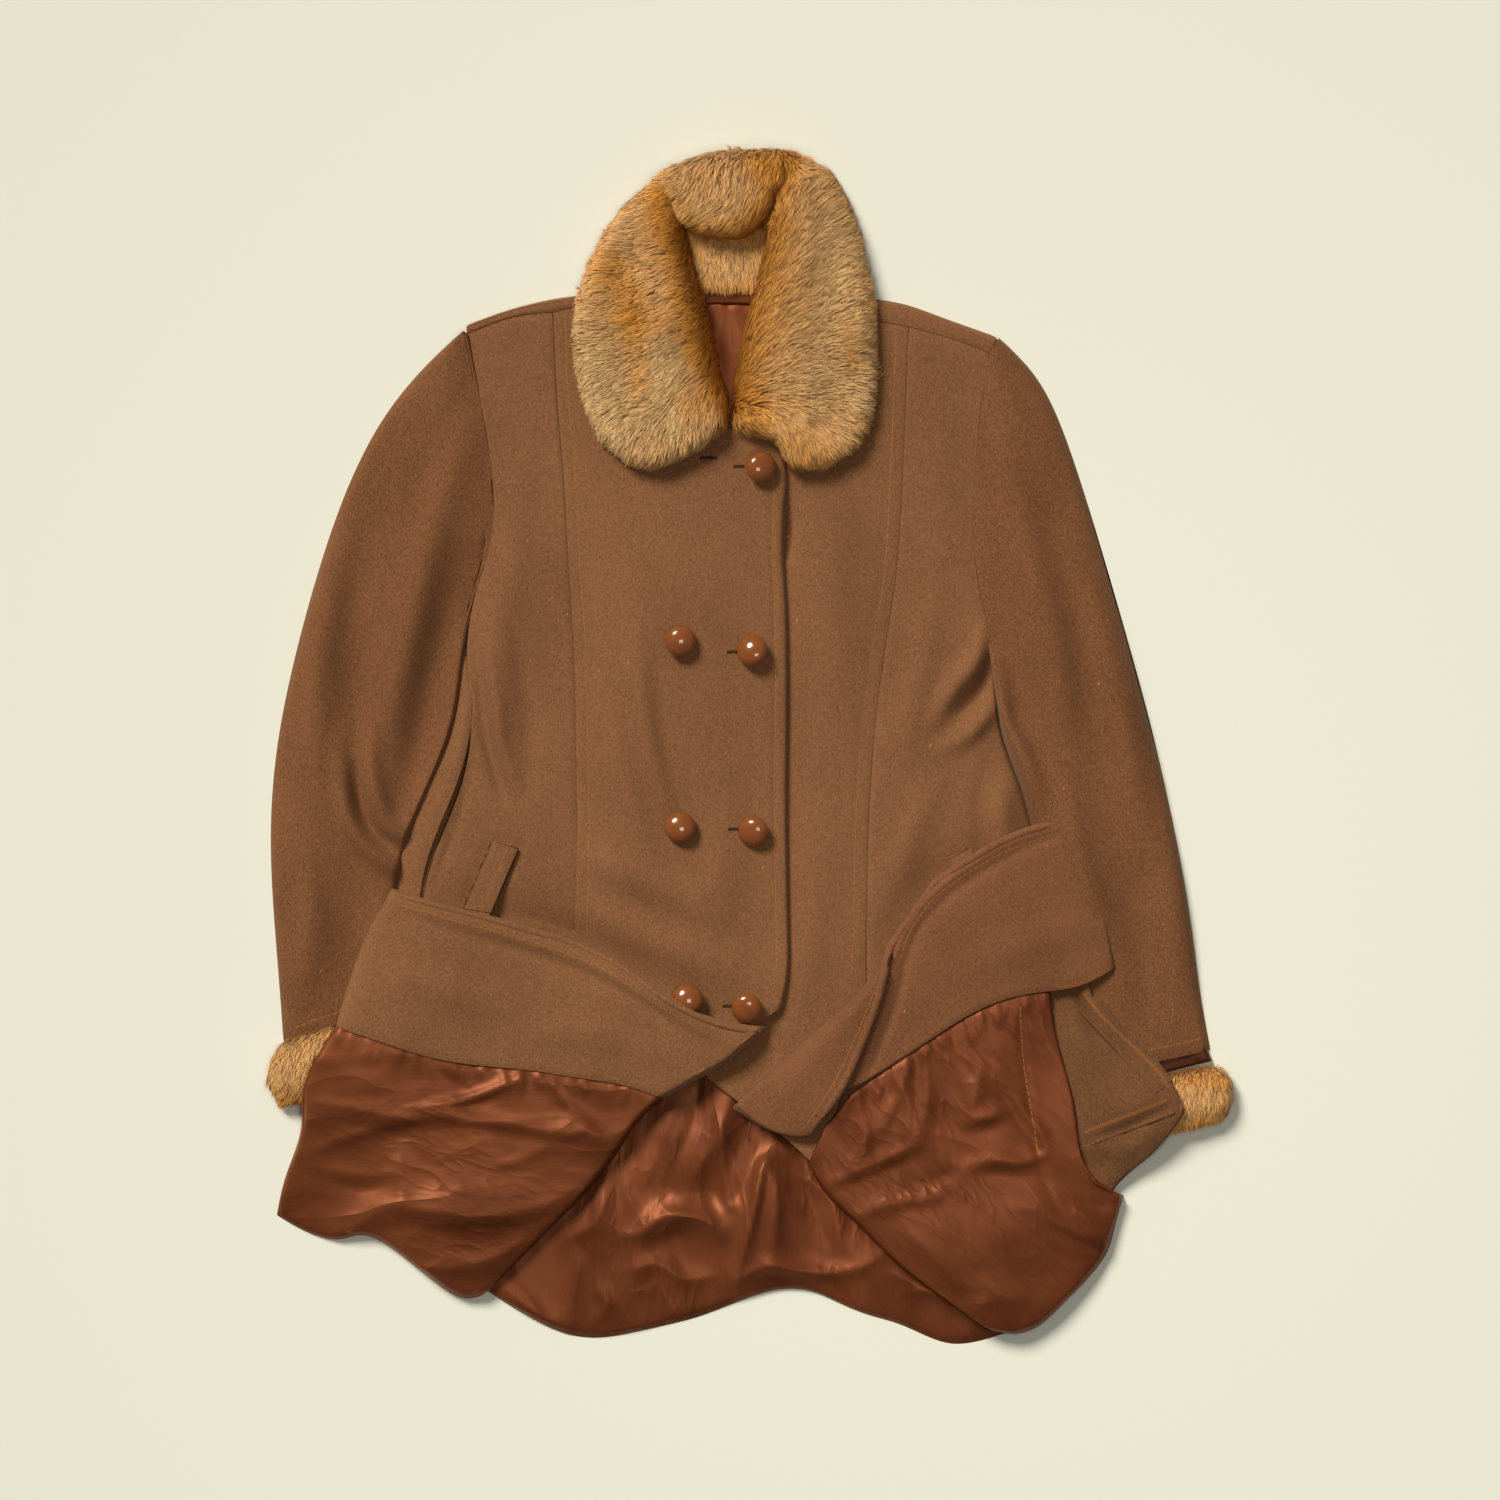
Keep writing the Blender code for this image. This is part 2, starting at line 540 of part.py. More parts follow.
def cuff(name, shade, rings):
    """A fur cuff laid flat: a tube whose inside is a low slit. Each ring has its two ends in plan."""
    around = 14           # points round the tube
    pile = 8.5            # of fur at the tube's two sides
    slit = 1.7            # half the height of the inside
    half_height = CUFF_HEIGHT / 2
    points = []
    for a, b, swell in rings:
        middle = Vector(a).lerp(Vector(b), 0.5)
        along = Vector(b) - Vector(a)
        half_width = along.length / 2
        along.normalize()
        for scale_x, scale_z in ((half_width, half_height * swell), (half_width - pile, slit)):
            for step in range(around):
                turn = 2 * math.pi * step / around
                cx, cz = math.cos(turn), math.sin(turn)
                x = math.copysign(abs(cx) ** 0.5, cx) * scale_x
                z = math.copysign(abs(cz) ** 0.75, cz) * scale_z
                spot = middle + along * x
                points.append((spot.x * MM, spot.y * MM, (half_height * swell + z) * MM))
    faces = []
    size = 2 * around
    for ring in range(len(rings) - 1):
        for wall_start in (0, around):
            for step in range(around):
                a = ring * size + wall_start + step
                b = ring * size + wall_start + (step + 1) % around
                faces.append((a, b, b + size, a + size))
    for ring in (0, len(rings) - 1):
        for step in range(around):
            a = ring * size + step
            b = ring * size + (step + 1) % around
            faces.append((a, b, b + around, a + around))
    mesh = bpy.data.meshes.new(name)
    mesh.from_pydata(points, [], faces)
    finish(name, shade, mesh)


def button(name, shade, x, y, on):
    """A domed button on a short shank, turned round its own axis."""
    around = 12
    radius = BUTTON_ACROSS / 2
    seat = Bed(on).height(x, y, FOOT_REACH)
    shank = [(0.26, 0), (0.26, 0.14)]
    dome = [(0.8, 0.2), (1.0, 0.42), (0.93, 0.68), (0.7, 0.88), (0.36, 0.98)]
    profile = shank + dome
    points, faces = [], []
    for r, h in profile:
        for step in range(around):
            turn = 2 * math.pi * step / around
            points.append(((x + radius * r * math.cos(turn)) * MM, (y + radius * r * math.sin(turn)) * MM,
                           (seat + BUTTON_HEIGHT * h) * MM))
    foot, crown = len(points), len(points) + 1
    points += [(x * MM, y * MM, seat * MM), (x * MM, y * MM, (seat + BUTTON_HEIGHT) * MM)]
    rings = len(profile)
    for ring in range(rings - 1):
        for step in range(around):
            a, b = ring * around + step, ring * around + (step + 1) % around
            faces.append((a, b, b + around, a + around))
    for step in range(around):
        faces.append((foot, (step + 1) % around, step))
        top = (rings - 1) * around
        faces.append((crown, top + step, top + (step + 1) % around))
    mesh = bpy.data.meshes.new(name)
    mesh.from_pydata(points, [], faces)
    finish(name, shade, mesh)


def strip_plan(start, end, width, rows, columns):
    """A straight band from start to end, as a plan."""
    a, b = Vector(start), Vector(end)
    side = (b - a).normalized()
    side = Vector((side.y, -side.x)) * width / 2
    return Plan(straight(a - side, b - side, rows), straight(a + side, b + side, rows), columns)


for old in list(bpy.data.objects):
    bpy.data.objects.remove(old, do_unlink=True)

wool = material("camel wool", (0.235, 0.107, 0.042), 0.9)
satin = material("rust lining", (0.24, 0.065, 0.026), 0.42)
fur = material("tan fur", (0.52, 0.30, 0.11), 0.85)
shell_plastic = material("caramel buttons", (0.36, 0.085, 0.02), 0.2)


# The back and the under sleeves lie on the floor, sewn together at the armholes.
BODY_ROWS = 18
ARMHOLE_ROWS = 5
ARM_ROWS = 14
back_plan = Plan(side_line(("right armhole", ARMHOLE_ROWS), ("back right", 10)),
                 side_line(("left armhole", ARMHOLE_ROWS), ("back left", 10)), 9, "back top", "back hem")
lay("back", wool, back_plan)

UNDER_INSET = 14      # the upper sleeve rolls over the under sleeve's outer edge
for side in ("right", "left"):
    outside = side_line((side + " outer arm", ARM_ROWS))
    inside = side_line((side + " armhole", ARMHOLE_ROWS), (side + " inner arm", ARM_ROWS - ARMHOLE_ROWS))
    far, near = [], []
    for index, (outer_point, inner_point) in enumerate(zip(outside, inside)):
        way = (inner_point - outer_point).normalized()
        width = (inner_point - outer_point).length
        far.append(outer_point + way * min(UNDER_INSET, width * 0.45))
        below_arm = max(0, index - ARMHOLE_ROWS)
        near.append(inner_point - way * min(UNDER_INSET * below_arm / 2, UNDER_INSET))
    if side == "right":
        lay("right_under_sleeve", wool, Plan(far, near, 3))
    else:
        lay("left_under_sleeve", wool, Plan(near, far, 3))

# The lining of the back: the bit in the neck, and the skirt that shows where the fronts are folded open.
neck_right = straight(Vector((-72, 364)), Vector((-72, 262)), 4)
neck_left = straight(Vector((36, 361)), Vector((36, 262)), 4)
lay("neck_lining", satin, Plan(neck_right, neck_left, 4), ["back"], wall=SATIN)
skirt = Plan(side_line(("skirt lining right", 14)), side_line(("skirt lining left", 14)), 20,
             "skirt lining top", "skirt lining hem")
lay("back_lining", satin, skirt, ["back"], wall=SATIN, folds="back lining", roll=(0, 0, 0, 6))

# The fronts. The left ones come first, because the right centre front laps over them.
under_fronts = ["back", "neck_lining", "back_lining"]
left_seam = side_line(("left princess", BODY_ROWS))
right_seam = side_line(("right princess", BODY_ROWS))
left_centre = Plan(side_line(("left front edge", BODY_ROWS)), left_seam, 6, "left neck", "left body fold")
lay("left_centre_front", wool, left_centre, under_fronts, folds="body", puff=PUFF)
left_outside = side_line(("left armhole", ARMHOLE_ROWS), ("left inner arm", ARM_ROWS - ARMHOLE_ROWS),
                         ("left lower side", 4))
left_side = Plan(left_seam, left_outside, 5, "left shoulder seam", "left side fold")
UNDER_ARM = 0.31      # the share of a front's side that is armhole
lay("left_side_front", wool, left_side, under_fronts, folds="body", puff=PUFF,
    roll=(0, (7, UNDER_ARM), 0, 0))
sleeve_edge = side_line(("right inner arm", ARM_ROWS - ARMHOLE_ROWS))
lower_edge = side_line(("right lower side", 4))
COVERED = 2           # rows of the side seam that the sleeve hides
side_seam = side_line(("right side seam", BODY_ROWS - ARMHOLE_ROWS - COVERED))
right_outside = side_line(("right armhole", ARMHOLE_ROWS)) + sleeve_edge[1:COVERED] + side_seam
right_side = Plan(right_outside, right_seam, 4, "right shoulder seam")
lay("right_side_front", wool, right_side, under_fronts, folds="body", puff=PUFF)
right_sliver = Plan(sleeve_edge[COVERED:] + lower_edge[1:], side_seam, 1)
lay("right_side_back", wool, right_sliver, under_fronts, folds="body", puff=PUFF, roll=(7, 0, 0, 0))
right_centre = Plan(right_seam, side_line(("right front edge", BODY_ROWS)), 7, "right neck",
                    "right body fold")
lay("right_centre_front", wool, right_centre, under_fronts + ["left_centre_front"], folds="body", puff=PUFF,
    roll=(0, 5, 0, 0))

# The upper sleeves, rolled down to the floor outside and, below the armhole, inside.
sleeve_inside = (8, 0.36)
right_arm = Plan(side_line(("right outer arm", ARM_ROWS)),
                 side_line(("right armhole", ARMHOLE_ROWS), ("right inner arm", ARM_ROWS - ARMHOLE_ROWS)), 5,
                 bottom="right cuff line")
lay("right_sleeve", wool, right_arm, ["right_under_sleeve"], folds="right sleeve", crown=5,
    roll=(10, sleeve_inside, 0, 0))
left_arm = Plan(side_line(("left armhole", ARMHOLE_ROWS), ("left inner arm", ARM_ROWS - ARMHOLE_ROWS)),
                side_line(("left outer arm", ARM_ROWS)), 5, bottom="left cuff line")
lay("left_sleeve", wool, left_arm, ["left_under_sleeve"], folds="left sleeve", crown=5,
    roll=(sleeve_inside, 10, 0, 0))

# The back comes over the shoulders to meet the fronts.
for side in ("right", "left"):
    top = smooth_line(LINES[side + " shoulder top"], 8)
    low = smooth_line(LINES[side + " shoulder low"], 8)
    lay("back_shoulder_" + side, wool, Plan(top, low, 1), ["back"], crown=1, roll=(5, 0, 0, 0))

# The cuffs, each a tube of fur laid flat, and the lining drawn out between the left one and its sleeve.
cuff("cuff_right", fur, [((-384, -244), (-290, -213), 0.74), ((-391, -256), (-290, -229), 1.0),
                         ((-394, -271), (-292, -249), 1.0), ((-385, -289), (-296, -267), 0.76)])
cuff("cuff_left", fur, [((289, -280), (386, -261), 0.76), ((290, -291), (392, -271), 1.0),
                        ((291, -307), (394, -284), 1.0), ((294, -321), (389, -299), 0.76)])
drawn_lining = Plan(straight(Vector((284, -269)), Vector((288.9, -279.6)), 1),
                    straight(Vector((379, -248)), Vector((385.9, -260.6)), 1), 4)
lay("left_sleeve_lining", satin, drawn_lining, solid=8, roll=(3, 3, 2, 2))

# Pocket welts, set down the side fronts at a slant, the lower ends under the folded skirt.
WELT_LENGTH = 130
WELT_WIDTH = 21
WELT_SLANT = Vector((24, -56)).normalized()    # of the left one, the right one mirrors it
for side, x, y in (("right", -200, -77), ("left", 171, -84)):
    slant = WELT_SLANT if side == "left" else Vector((-WELT_SLANT.x, WELT_SLANT.y))
    start = Vector((x, y))
    welt = strip_plan(start, start + slant * WELT_LENGTH, WELT_WIDTH, 5, 1)
    beneath = ["right_side_front", "right_side_back"] if side == "right" else ["left_side_front"]
    lay("welt_" + side, wool, welt, beneath, wall=WELT, reach=4)

# Seven buttons: one at the neck, three pairs down the fronts. Each has its middle in plan.
BUTTONS = [(8, 231), (-57, 89), (3, 80), (-57, -64), (4, -66), (-2, -210), (-51, -205)]
for number, (x, y) in enumerate(BUTTONS, start=1):
    button("button_" + str(number), shell_plastic, x, y, ["right_centre_front"])

# The right skirt front, folded back over the body: its shell below, its facing and lining on top.
right_flap_bed = ["back", "back_lining", "right_side_front", "right_side_back", "right_centre_front",
                  "left_centre_front", "right_sleeve", "right_under_sleeve", "cuff_right", "welt_right",
                  "button_7"]
shell = Plan(side_line(("right shell hem", 8)), side_line(("right shell fold", 8)), 9, "right shell top",
             "right shell foot")
lay("right_turned_shell", wool, shell, right_flap_bed, roll=(3, 3, 3, 3), reach=4)
facing = Plan(side_line(("right wool hem", 4)), side_line(("right wool fold", 4)), 11, "right flap edge",
              "right facing seam")
lay("right_facing", wool, facing, right_flap_bed + ["right_turned_shell"], folds="facing", reach=FLAP_REACH,
    roll=(6, 7, 6, 0))
lining = Plan(side_line(("right lining hem", 7)), side_line(("right lining fold", 7)), 11,
              "right facing seam", "right lining foot")
lay("right_front_lining", satin, lining, right_flap_bed + ["right_turned_shell"], wall=SATIN,
    folds="right lining", reach=FLAP_REACH, roll=(5, 8, 0, 6))

# The left skirt front, whose lining hangs free of its shell at the hem.
left_flap_bed = ["back", "back_lining", "left_side_front", "left_centre_front", "left_sleeve",
                 "left_under_sleeve", "left_sleeve_lining", "cuff_left", "welt_left"]
shell = Plan(side_line(("left shell fold", 8)), side_line(("left shell hem", 8)), 11,
             bottom="left shell foot")
lay("left_turned_shell", wool, shell, left_flap_bed, folds="shell", roll=(3, 5, 3, 5), reach=6)
facing_seam = side_line(("left facing seam", 8), ("left facing corner", 2))
facing = Plan(side_line(("left flap edge", 10)), facing_seam, 4, "left facing end", "left wool hem")
lay("left_facing", wool, facing, left_flap_bed + ["left_turned_shell"], folds="left facing",
    reach=FLAP_REACH, roll=(6, 0, 0, 5))
lining = Plan(side_line(("left lining fold", 8)), side_line(("left lining hem", 8)), 8, "left lining top",
              "left lining foot")
lay("left_front_lining", satin, lining, left_flap_bed + ["left_turned_shell"], wall=SATIN,
    folds="left lining", reach=FLAP_REACH, roll=(7, 3, 0, 6))
turn = Plan(side_line(("turn outer", 8)), side_line(("turn inner", 8)), 2, bottom="turn end")
lay("left_front_edge_turn", wool, turn,
    left_flap_bed + ["left_turned_shell", "left_facing", "left_front_lining"], reach=FLAP_REACH, crown=2,
    roll=(7, 4, 3, 5))

# Allowances that show on the inside of the left shell: at the side seam and along the hem.
left_shell_bed = left_flap_bed + ["left_turned_shell"]
lay("left_side_seam_allowance", wool, strip_plan((276, -318), (344, -291), 13, 5, 1), left_shell_bed,
    wall=SATIN, reach=1)
lay("left_hem_allowance", wool, strip_plan((286, -219), (330, -268), 12, 5, 1), left_shell_bed,
    wall=SATIN, reach=1)

# The fur collar: the stand inside the neck, the roll of the back, and the two falls over the fronts.
COLLAR_LEVEL = 30     # least height of the collar's falls above the floor
lay("neck_binding", satin, Plan(straight(Vector((-36, 376.6)), Vector((-33, 365.0)), 1),
                                straight(Vector((1, 376.6)), Vector((-2, 365.0)), 1), 4),
    solid=8, roll=(2, 2, 3, 3))
lay("collar_stand", fur, Plan(side_line(("stand right", 4)), side_line(("stand left", 4)), 4),
    solid=13, roll=(3, 3, 3, 3))
back_roll = Plan(side_line(("back roll right", 3)), side_line(("back roll left", 3)), 8, "back roll top",
                 "back roll low")
lay("collar_back", fur, back_roll, solid=34, roll=(0, 0, 14, 9), crown=3)
neck_bed = ["back", "neck_lining", "left_centre_front", "right_centre_front"]
right_fall = Plan(side_line(("right fall outer", 9)), side_line(("right fall inner", 9)), 4,
                  bottom="right fall end")
lay("collar_right", fur, right_fall, neck_bed + ["right_side_front", "back_shoulder_right"],
    folds="right fall", solid=18, level=COLLAR_LEVEL, roll=(15, 11, 4, 12))
left_fall = Plan(side_line(("left fall inner", 9)), side_line(("left fall outer", 9)), 4,
                 bottom="left fall end")
lay("collar_left", fur, left_fall, neck_bed + ["left_side_front", "back_shoulder_left"],
    folds="left fall", solid=18, level=COLLAR_LEVEL, roll=(11, 15, 4, 12))

# The origin goes to the middle of the coat's outline on the floor.
corners = [vertex.co for piece in built.values() for vertex in piece.data.vertices]
shift = Vector(((min(c.x for c in corners) + max(c.x for c in corners)) / 2,
                (min(c.y for c in corners) + max(c.y for c in corners)) / 2, min(c.z for c in corners)))
for piece in built.values():
    for vertex in piece.data.vertices:
        vertex.co -= shift
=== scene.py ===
# The looks of a camel wool coat with a fur collar and cuffs, laid on its back with its skirt fronts open.
# Lengths are in millimetres on the coat's plan: +X is the picture's right, +Y runs up to the collar.
# Right and left in a name are the wearer's, so the right front lies at -X.
import math

import bpy
import bmesh
import numpy as np
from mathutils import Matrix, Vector
from mathutils.bvhtree import BVHTree
from mathutils.kdtree import KDTree


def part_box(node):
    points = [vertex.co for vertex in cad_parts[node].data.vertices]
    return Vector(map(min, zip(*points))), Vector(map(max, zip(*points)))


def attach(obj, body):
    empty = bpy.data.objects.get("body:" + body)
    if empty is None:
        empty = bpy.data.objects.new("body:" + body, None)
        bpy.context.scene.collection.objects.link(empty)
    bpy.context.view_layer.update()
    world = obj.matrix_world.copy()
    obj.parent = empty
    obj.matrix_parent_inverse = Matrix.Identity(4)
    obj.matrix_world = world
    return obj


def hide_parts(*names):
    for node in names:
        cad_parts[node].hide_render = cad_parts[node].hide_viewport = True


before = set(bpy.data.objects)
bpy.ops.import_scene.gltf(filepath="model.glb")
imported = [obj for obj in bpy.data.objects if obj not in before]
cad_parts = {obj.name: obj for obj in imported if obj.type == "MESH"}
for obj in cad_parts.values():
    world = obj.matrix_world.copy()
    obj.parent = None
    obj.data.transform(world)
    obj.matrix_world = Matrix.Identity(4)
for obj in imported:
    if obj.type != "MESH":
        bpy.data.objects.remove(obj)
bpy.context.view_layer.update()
MM = 0.001

# The studio: a pale floor under a camera that looks straight down through a long lens.
# A broad soft light comes from beyond the coat's upper left, and a small bright window hangs over the coat.
PICTURE_WIDTH = 1230
CAMERA_HEIGHT = 4000
COAT_MIDDLE = 15
SENSOR = 36
FLOOR_METRES = 60
KEY_FROM = Vector((-0.62, 0.86, 0.92))
bpy.ops.object.select_all(action="DESELECT")
bpy.ops.mesh.primitive_plane_add(size=FLOOR_METRES, location=(0, 0, 0))
floor = bpy.context.object
floor.name = "floor"
floor_paint = bpy.data.materials.new("floor paint")
floor_paint.use_nodes = True
paint = floor_paint.node_tree.nodes["Principled BSDF"].inputs
paint["Base Color"].default_value = (0.85, 0.83, 0.67, 1)
paint["Roughness"].default_value = 1.0
floor.data.materials.append(floor_paint)
bpy.ops.object.camera_add(location=(0, 0, (CAMERA_HEIGHT + COAT_MIDDLE) * MM), rotation=(0, 0, 0))
camera = bpy.context.object
camera.data.sensor_width = SENSOR
camera.data.lens = SENSOR * CAMERA_HEIGHT / PICTURE_WIDTH
bpy.context.scene.camera = camera
bpy.ops.object.light_add(type="SUN", location=(-1, 2, 2))
key = bpy.context.object
key.data.energy = 3.35
key.data.angle = math.radians(20)
key.data.color = (1, 0.985, 0.96)
key.rotation_mode = "QUATERNION"
key.rotation_quaternion = KEY_FROM.to_track_quat("Z", "Y")
bpy.ops.object.light_add(type="AREA", location=(0.12, -0.12, 1.9))
window = bpy.context.object
window.data.shape = "RECTANGLE"
window.data.size, window.data.size_y = 0.55, 0.45
window.data.energy = 6
window.visible_camera = False
room = bpy.data.worlds.new("room")
room.use_nodes = True
daylight = room.node_tree.nodes["Background"].inputs
daylight["Color"].default_value = (0.97, 0.98, 1, 1)
daylight["Strength"].default_value = 0.14
bpy.context.scene.world = room
bpy.context.scene.view_settings.view_transform = "Standard"


# The back of the coat: one wool panel on the floor, with the under sleeves sewn to it at the armholes.
# The cloth is a brushed camel twill with a short nap, flecked with stray orange and yellow fibres.
class Tone:
    """A socket in a finish; Python's operators on it add Math nodes."""

    def __init__(self, finish, socket):
        self.finish, self.socket = finish, socket

    def maths(self, operation, first, second):
        return self.finish.node("ShaderNodeMath", {"operation": operation}, {0: first, 1: second})

    def __add__(self, other):
        return self.maths("ADD", self, other)

    def __sub__(self, other):
        return self.maths("SUBTRACT", self, other)

    def __rsub__(self, other):
        return self.maths("SUBTRACT", other, self)

    def __mul__(self, other):
        return self.maths("MULTIPLY", self, other)

    def __pow__(self, other):
        return self.maths("POWER", self, other)

    __radd__ = __add__
    __rmul__ = __mul__

    def __abs__(self):
        return self.maths("ABSOLUTE", self, 0.0)

    def clipped(self):
        return self.finish.node("ShaderNodeMath", {"operation": "ADD", "use_clamp": True}, {0: self, 1: 0.0})


class Finish:
    """One material, built up from nodes behind its Principled surface."""

    def __init__(self, name, **surface):
        self.material = bpy.data.materials.new(name)
        self.material.use_nodes = True
        self.tree = self.material.node_tree
        self.surface = self.tree.nodes["Principled BSDF"]
        for socket, value in surface.items():
            self.surface.inputs[socket.replace("_", " ")].default_value = value

    def node(self, kind, settings=None, inputs=None, output=0):
        made = self.tree.nodes.new(kind)
        for key, value in (settings or {}).items():
            setattr(made, key, value)
        for key, value in (inputs or {}).items():
            self.feed(made.inputs[key], value)
        return Tone(self, made.outputs[output])

    def feed(self, socket, value):
        if isinstance(value, Tone):
            self.tree.links.new(value.socket, socket)
        else:
            socket.default_value = value

    def shade(self, share, low, high):
        """The colour between two, at a share from 0 to 1."""
        low, high = [value if isinstance(value, Tone) else (*value, 1) for value in (low, high)]
        return self.node("ShaderNodeMix", {"data_type": "RGBA"}, {0: share, 6: low, 7: high}, 2)

    def grain(self, turn=0.0, stretch=(1, 1, 1)):
        """The cloth's own coordinates, turned by degrees and drawn out along its grain."""
        place = self.node("ShaderNodeTexCoord", output="Object")
        turned = self.node("ShaderNodeMapping",
                           inputs={"Vector": place, "Rotation": (0, 0, math.radians(turn))})
        return self.node("ShaderNodeMapping", inputs={"Vector": turned, "Scale": stretch})

    def noise(self, where, scale, detail=2.0, rough=0.5):
        return self.node("ShaderNodeTexNoise", inputs={"Vector": where, "Scale": scale, "Detail": detail,
                                                       "Roughness": rough})

    def relief(self, height, depth, strength=1.0):
        """Bumps the surface by a height from 0 to 1, depth in millimetres."""
        bump = self.node("ShaderNodeBump",
                         inputs={"Height": height, "Strength": strength, "Distance": depth * MM})
        self.feed(self.surface.inputs["Normal"], bump)


def twill(name, turn=0.0, dark=(0.157, 0.063, 0.023), light=(0.294, 0.127, 0.050)):
    """Brushed twill: ribs and picks under a nap, in faint patches, with flecks where a stray fibre lies."""
    cloth = Finish(name, Roughness=0.95, Sheen_Weight=0.16, Sheen_Roughness=0.45, Specular_IOR_Level=0.15,
                   Sheen_Tint=(1.0, 0.72, 0.45, 1))
    ribs = cloth.noise(cloth.grain(turn, (1, 0.4, 1)), 880, 2, 0.65)
    picks = cloth.noise(cloth.grain(turn, (0.4, 1, 1)), 1050, 2, 0.6)
    nap = cloth.noise(cloth.grain(turn), 700, 3, 0.7)
    patches = cloth.noise(cloth.grain(turn, (1, 0.5, 1)), 16, 4, 0.6)
    weave = (ribs * 0.44 + picks * 0.26 + nap * 0.30).clipped()
    tone = ((weave - 0.5) * 4.2 + 0.5 + (patches - 0.5) * 0.8).clipped()
    colour = cloth.shade(tone, dark, light)
    flecks = cloth.node("ShaderNodeTexVoronoi", {"feature": "F1"},
                        {"Vector": cloth.grain(turn + 20, (1, 0.45, 1)), "Scale": 80})
    fleck = (1 - flecks * 15).clipped() * (cloth.noise(cloth.grain(0), 60, 1) * 6 - 2.7).clipped()
    colour = cloth.shade(fleck, colour, (0.66, 0.29, 0.06))
    cloth.feed(cloth.surface.inputs["Base Color"], colour)
    cloth.relief(weave, 0.5, 0.8)
    return cloth.material


MERGED_WITHIN = 0.02
SHARP_EDGE = math.radians(48)
SHADED_SHARP = math.radians(50)


def pick_up(node, name, rounds):
    """A cloth piece from its solid: the loose triangles merged, paired into squares and rounded."""
    bpy.ops.object.select_all(action="DESELECT")
    piece = bpy.data.objects.new(name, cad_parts[node].data.copy())
    bpy.context.scene.collection.objects.link(piece)
    bpy.context.view_layer.objects.active = piece
    piece.select_set(True)
    piece.data.materials.clear()
    bpy.ops.mesh.customdata_custom_splitnormals_clear()
    bpy.ops.object.mode_set(mode="EDIT")
    bpy.ops.mesh.select_mode(type="EDGE")
    bpy.ops.mesh.select_all(action="SELECT")
    bpy.ops.mesh.remove_doubles(threshold=MERGED_WITHIN * MM)
    bpy.ops.mesh.tris_convert_to_quads(face_threshold=math.radians(75), shape_threshold=math.radians(130))
    bpy.ops.mesh.select_all(action="DESELECT")
    bpy.ops.mesh.edges_select_sharp(sharpness=SHARP_EDGE)
    bpy.ops.transform.edge_crease(value=1.0)
    bpy.ops.object.mode_set(mode="OBJECT")
    if rounds:
        rounding = piece.modifiers.new("rounding", "SUBSURF")
        rounding.levels = rounding.render_levels = rounds
        bpy.ops.object.modifier_apply(modifier=rounding.name)
    bpy.ops.object.shade_smooth_by_angle(angle=SHADED_SHARP)
    return piece


def places_of(piece):
    """The places of a piece's points in millimetres, and their normals."""
    places = np.empty(len(piece.data.vertices) * 3)
    piece.data.vertices.foreach_get("co", places)
    normals = np.empty(len(piece.data.vertices) * 3)
    piece.data.vertices.foreach_get("normal", normals)
    return places.reshape(-1, 3) / MM, normals.reshape(-1, 3)


def put_back(piece, places):
    """Moves a piece's points to new places, in millimetres."""
    piece.data.vertices.foreach_set("co", (places * MM).ravel())
    piece.data.update()


def soft_line(points):
    """A smooth curve through the points, as short straight runs."""
    points = np.array(points, float)
    ends = np.vstack([2 * points[0] - points[1], points, 2 * points[-1] - points[-2]])
    line = []
    for before, start, end, after in zip(ends, ends[1:], ends[2:], ends[3:]):
        for t in (0, 0.25, 0.5, 0.75):
            line.append(0.5 * (2 * start + (end - before) * t
                               + (2 * before - 5 * start + 4 * end - after) * t * t
                               + (3 * start - before - 3 * end + after) * t ** 3))
    return np.array(line + [points[-1]])


def nearness(spots, points):
    """The distance of each spot to a soft line, and how far along it the nearest point is."""
    line = soft_line(points)
    best = np.full(len(spots), 1e9)
    along = np.zeros(len(spots))
    for index, (start, end) in enumerate(zip(line, line[1:])):
        run = end - start
        share = np.clip(((spots - start) @ run) / (run @ run), 0, 1)
        away = np.linalg.norm(spots - start - share[:, None] * run, axis=1)
        along = np.where(away < best, (index + share) / (len(line) - 1), along)
        best = np.minimum(best, away)
    return best, along


def press(piece, creases=(), seam=1.1, let_out=0.5, deepen=1.6, crisp=2.0):
    """Presses creases into a piece's upper side, and its sewn edges a little down.

    A crease has a height, a half width and the points of its line; it dies away at both ends.
    The sides are let out a little, so that sewn pieces meet without a gap."""
    places, normals = places_of(piece)
    upper = np.clip((normals[:, 2] - 0.1) / 0.5, 0, 1)
    for height, half_width, points in creases:
        away, along = nearness(places[:, :2], points)
        swell = np.sin(np.pi * np.clip(0.06 + 0.88 * along, 0, 1)) ** 0.7
        crease = height * deepen * np.exp(-(away / half_width) ** crisp) * swell
        places[:, 2] += crease * upper if height > 0 else crease
    if seam:
        shape = bmesh.new()
        shape.from_mesh(piece.data)
        rim = {v.index for e in shape.edges if len(e.link_faces) == 2 and e.calc_face_angle() > 0.75
               for v in e.verts if v.normal.z > 0.35}
        shape.free()
        places[sorted(rim), 2] -= seam
    flat = np.linalg.norm(normals[:, :2], axis=1)
    outward = normals[:, :2] / np.maximum(flat, 0.01)[:, None]
    places[:, :2] += outward * (let_out * np.clip(flat / 0.5, 0, 1))[:, None]
    places[:, 2] = np.maximum(places[:, 2], 0.0)
    put_back(piece, places)


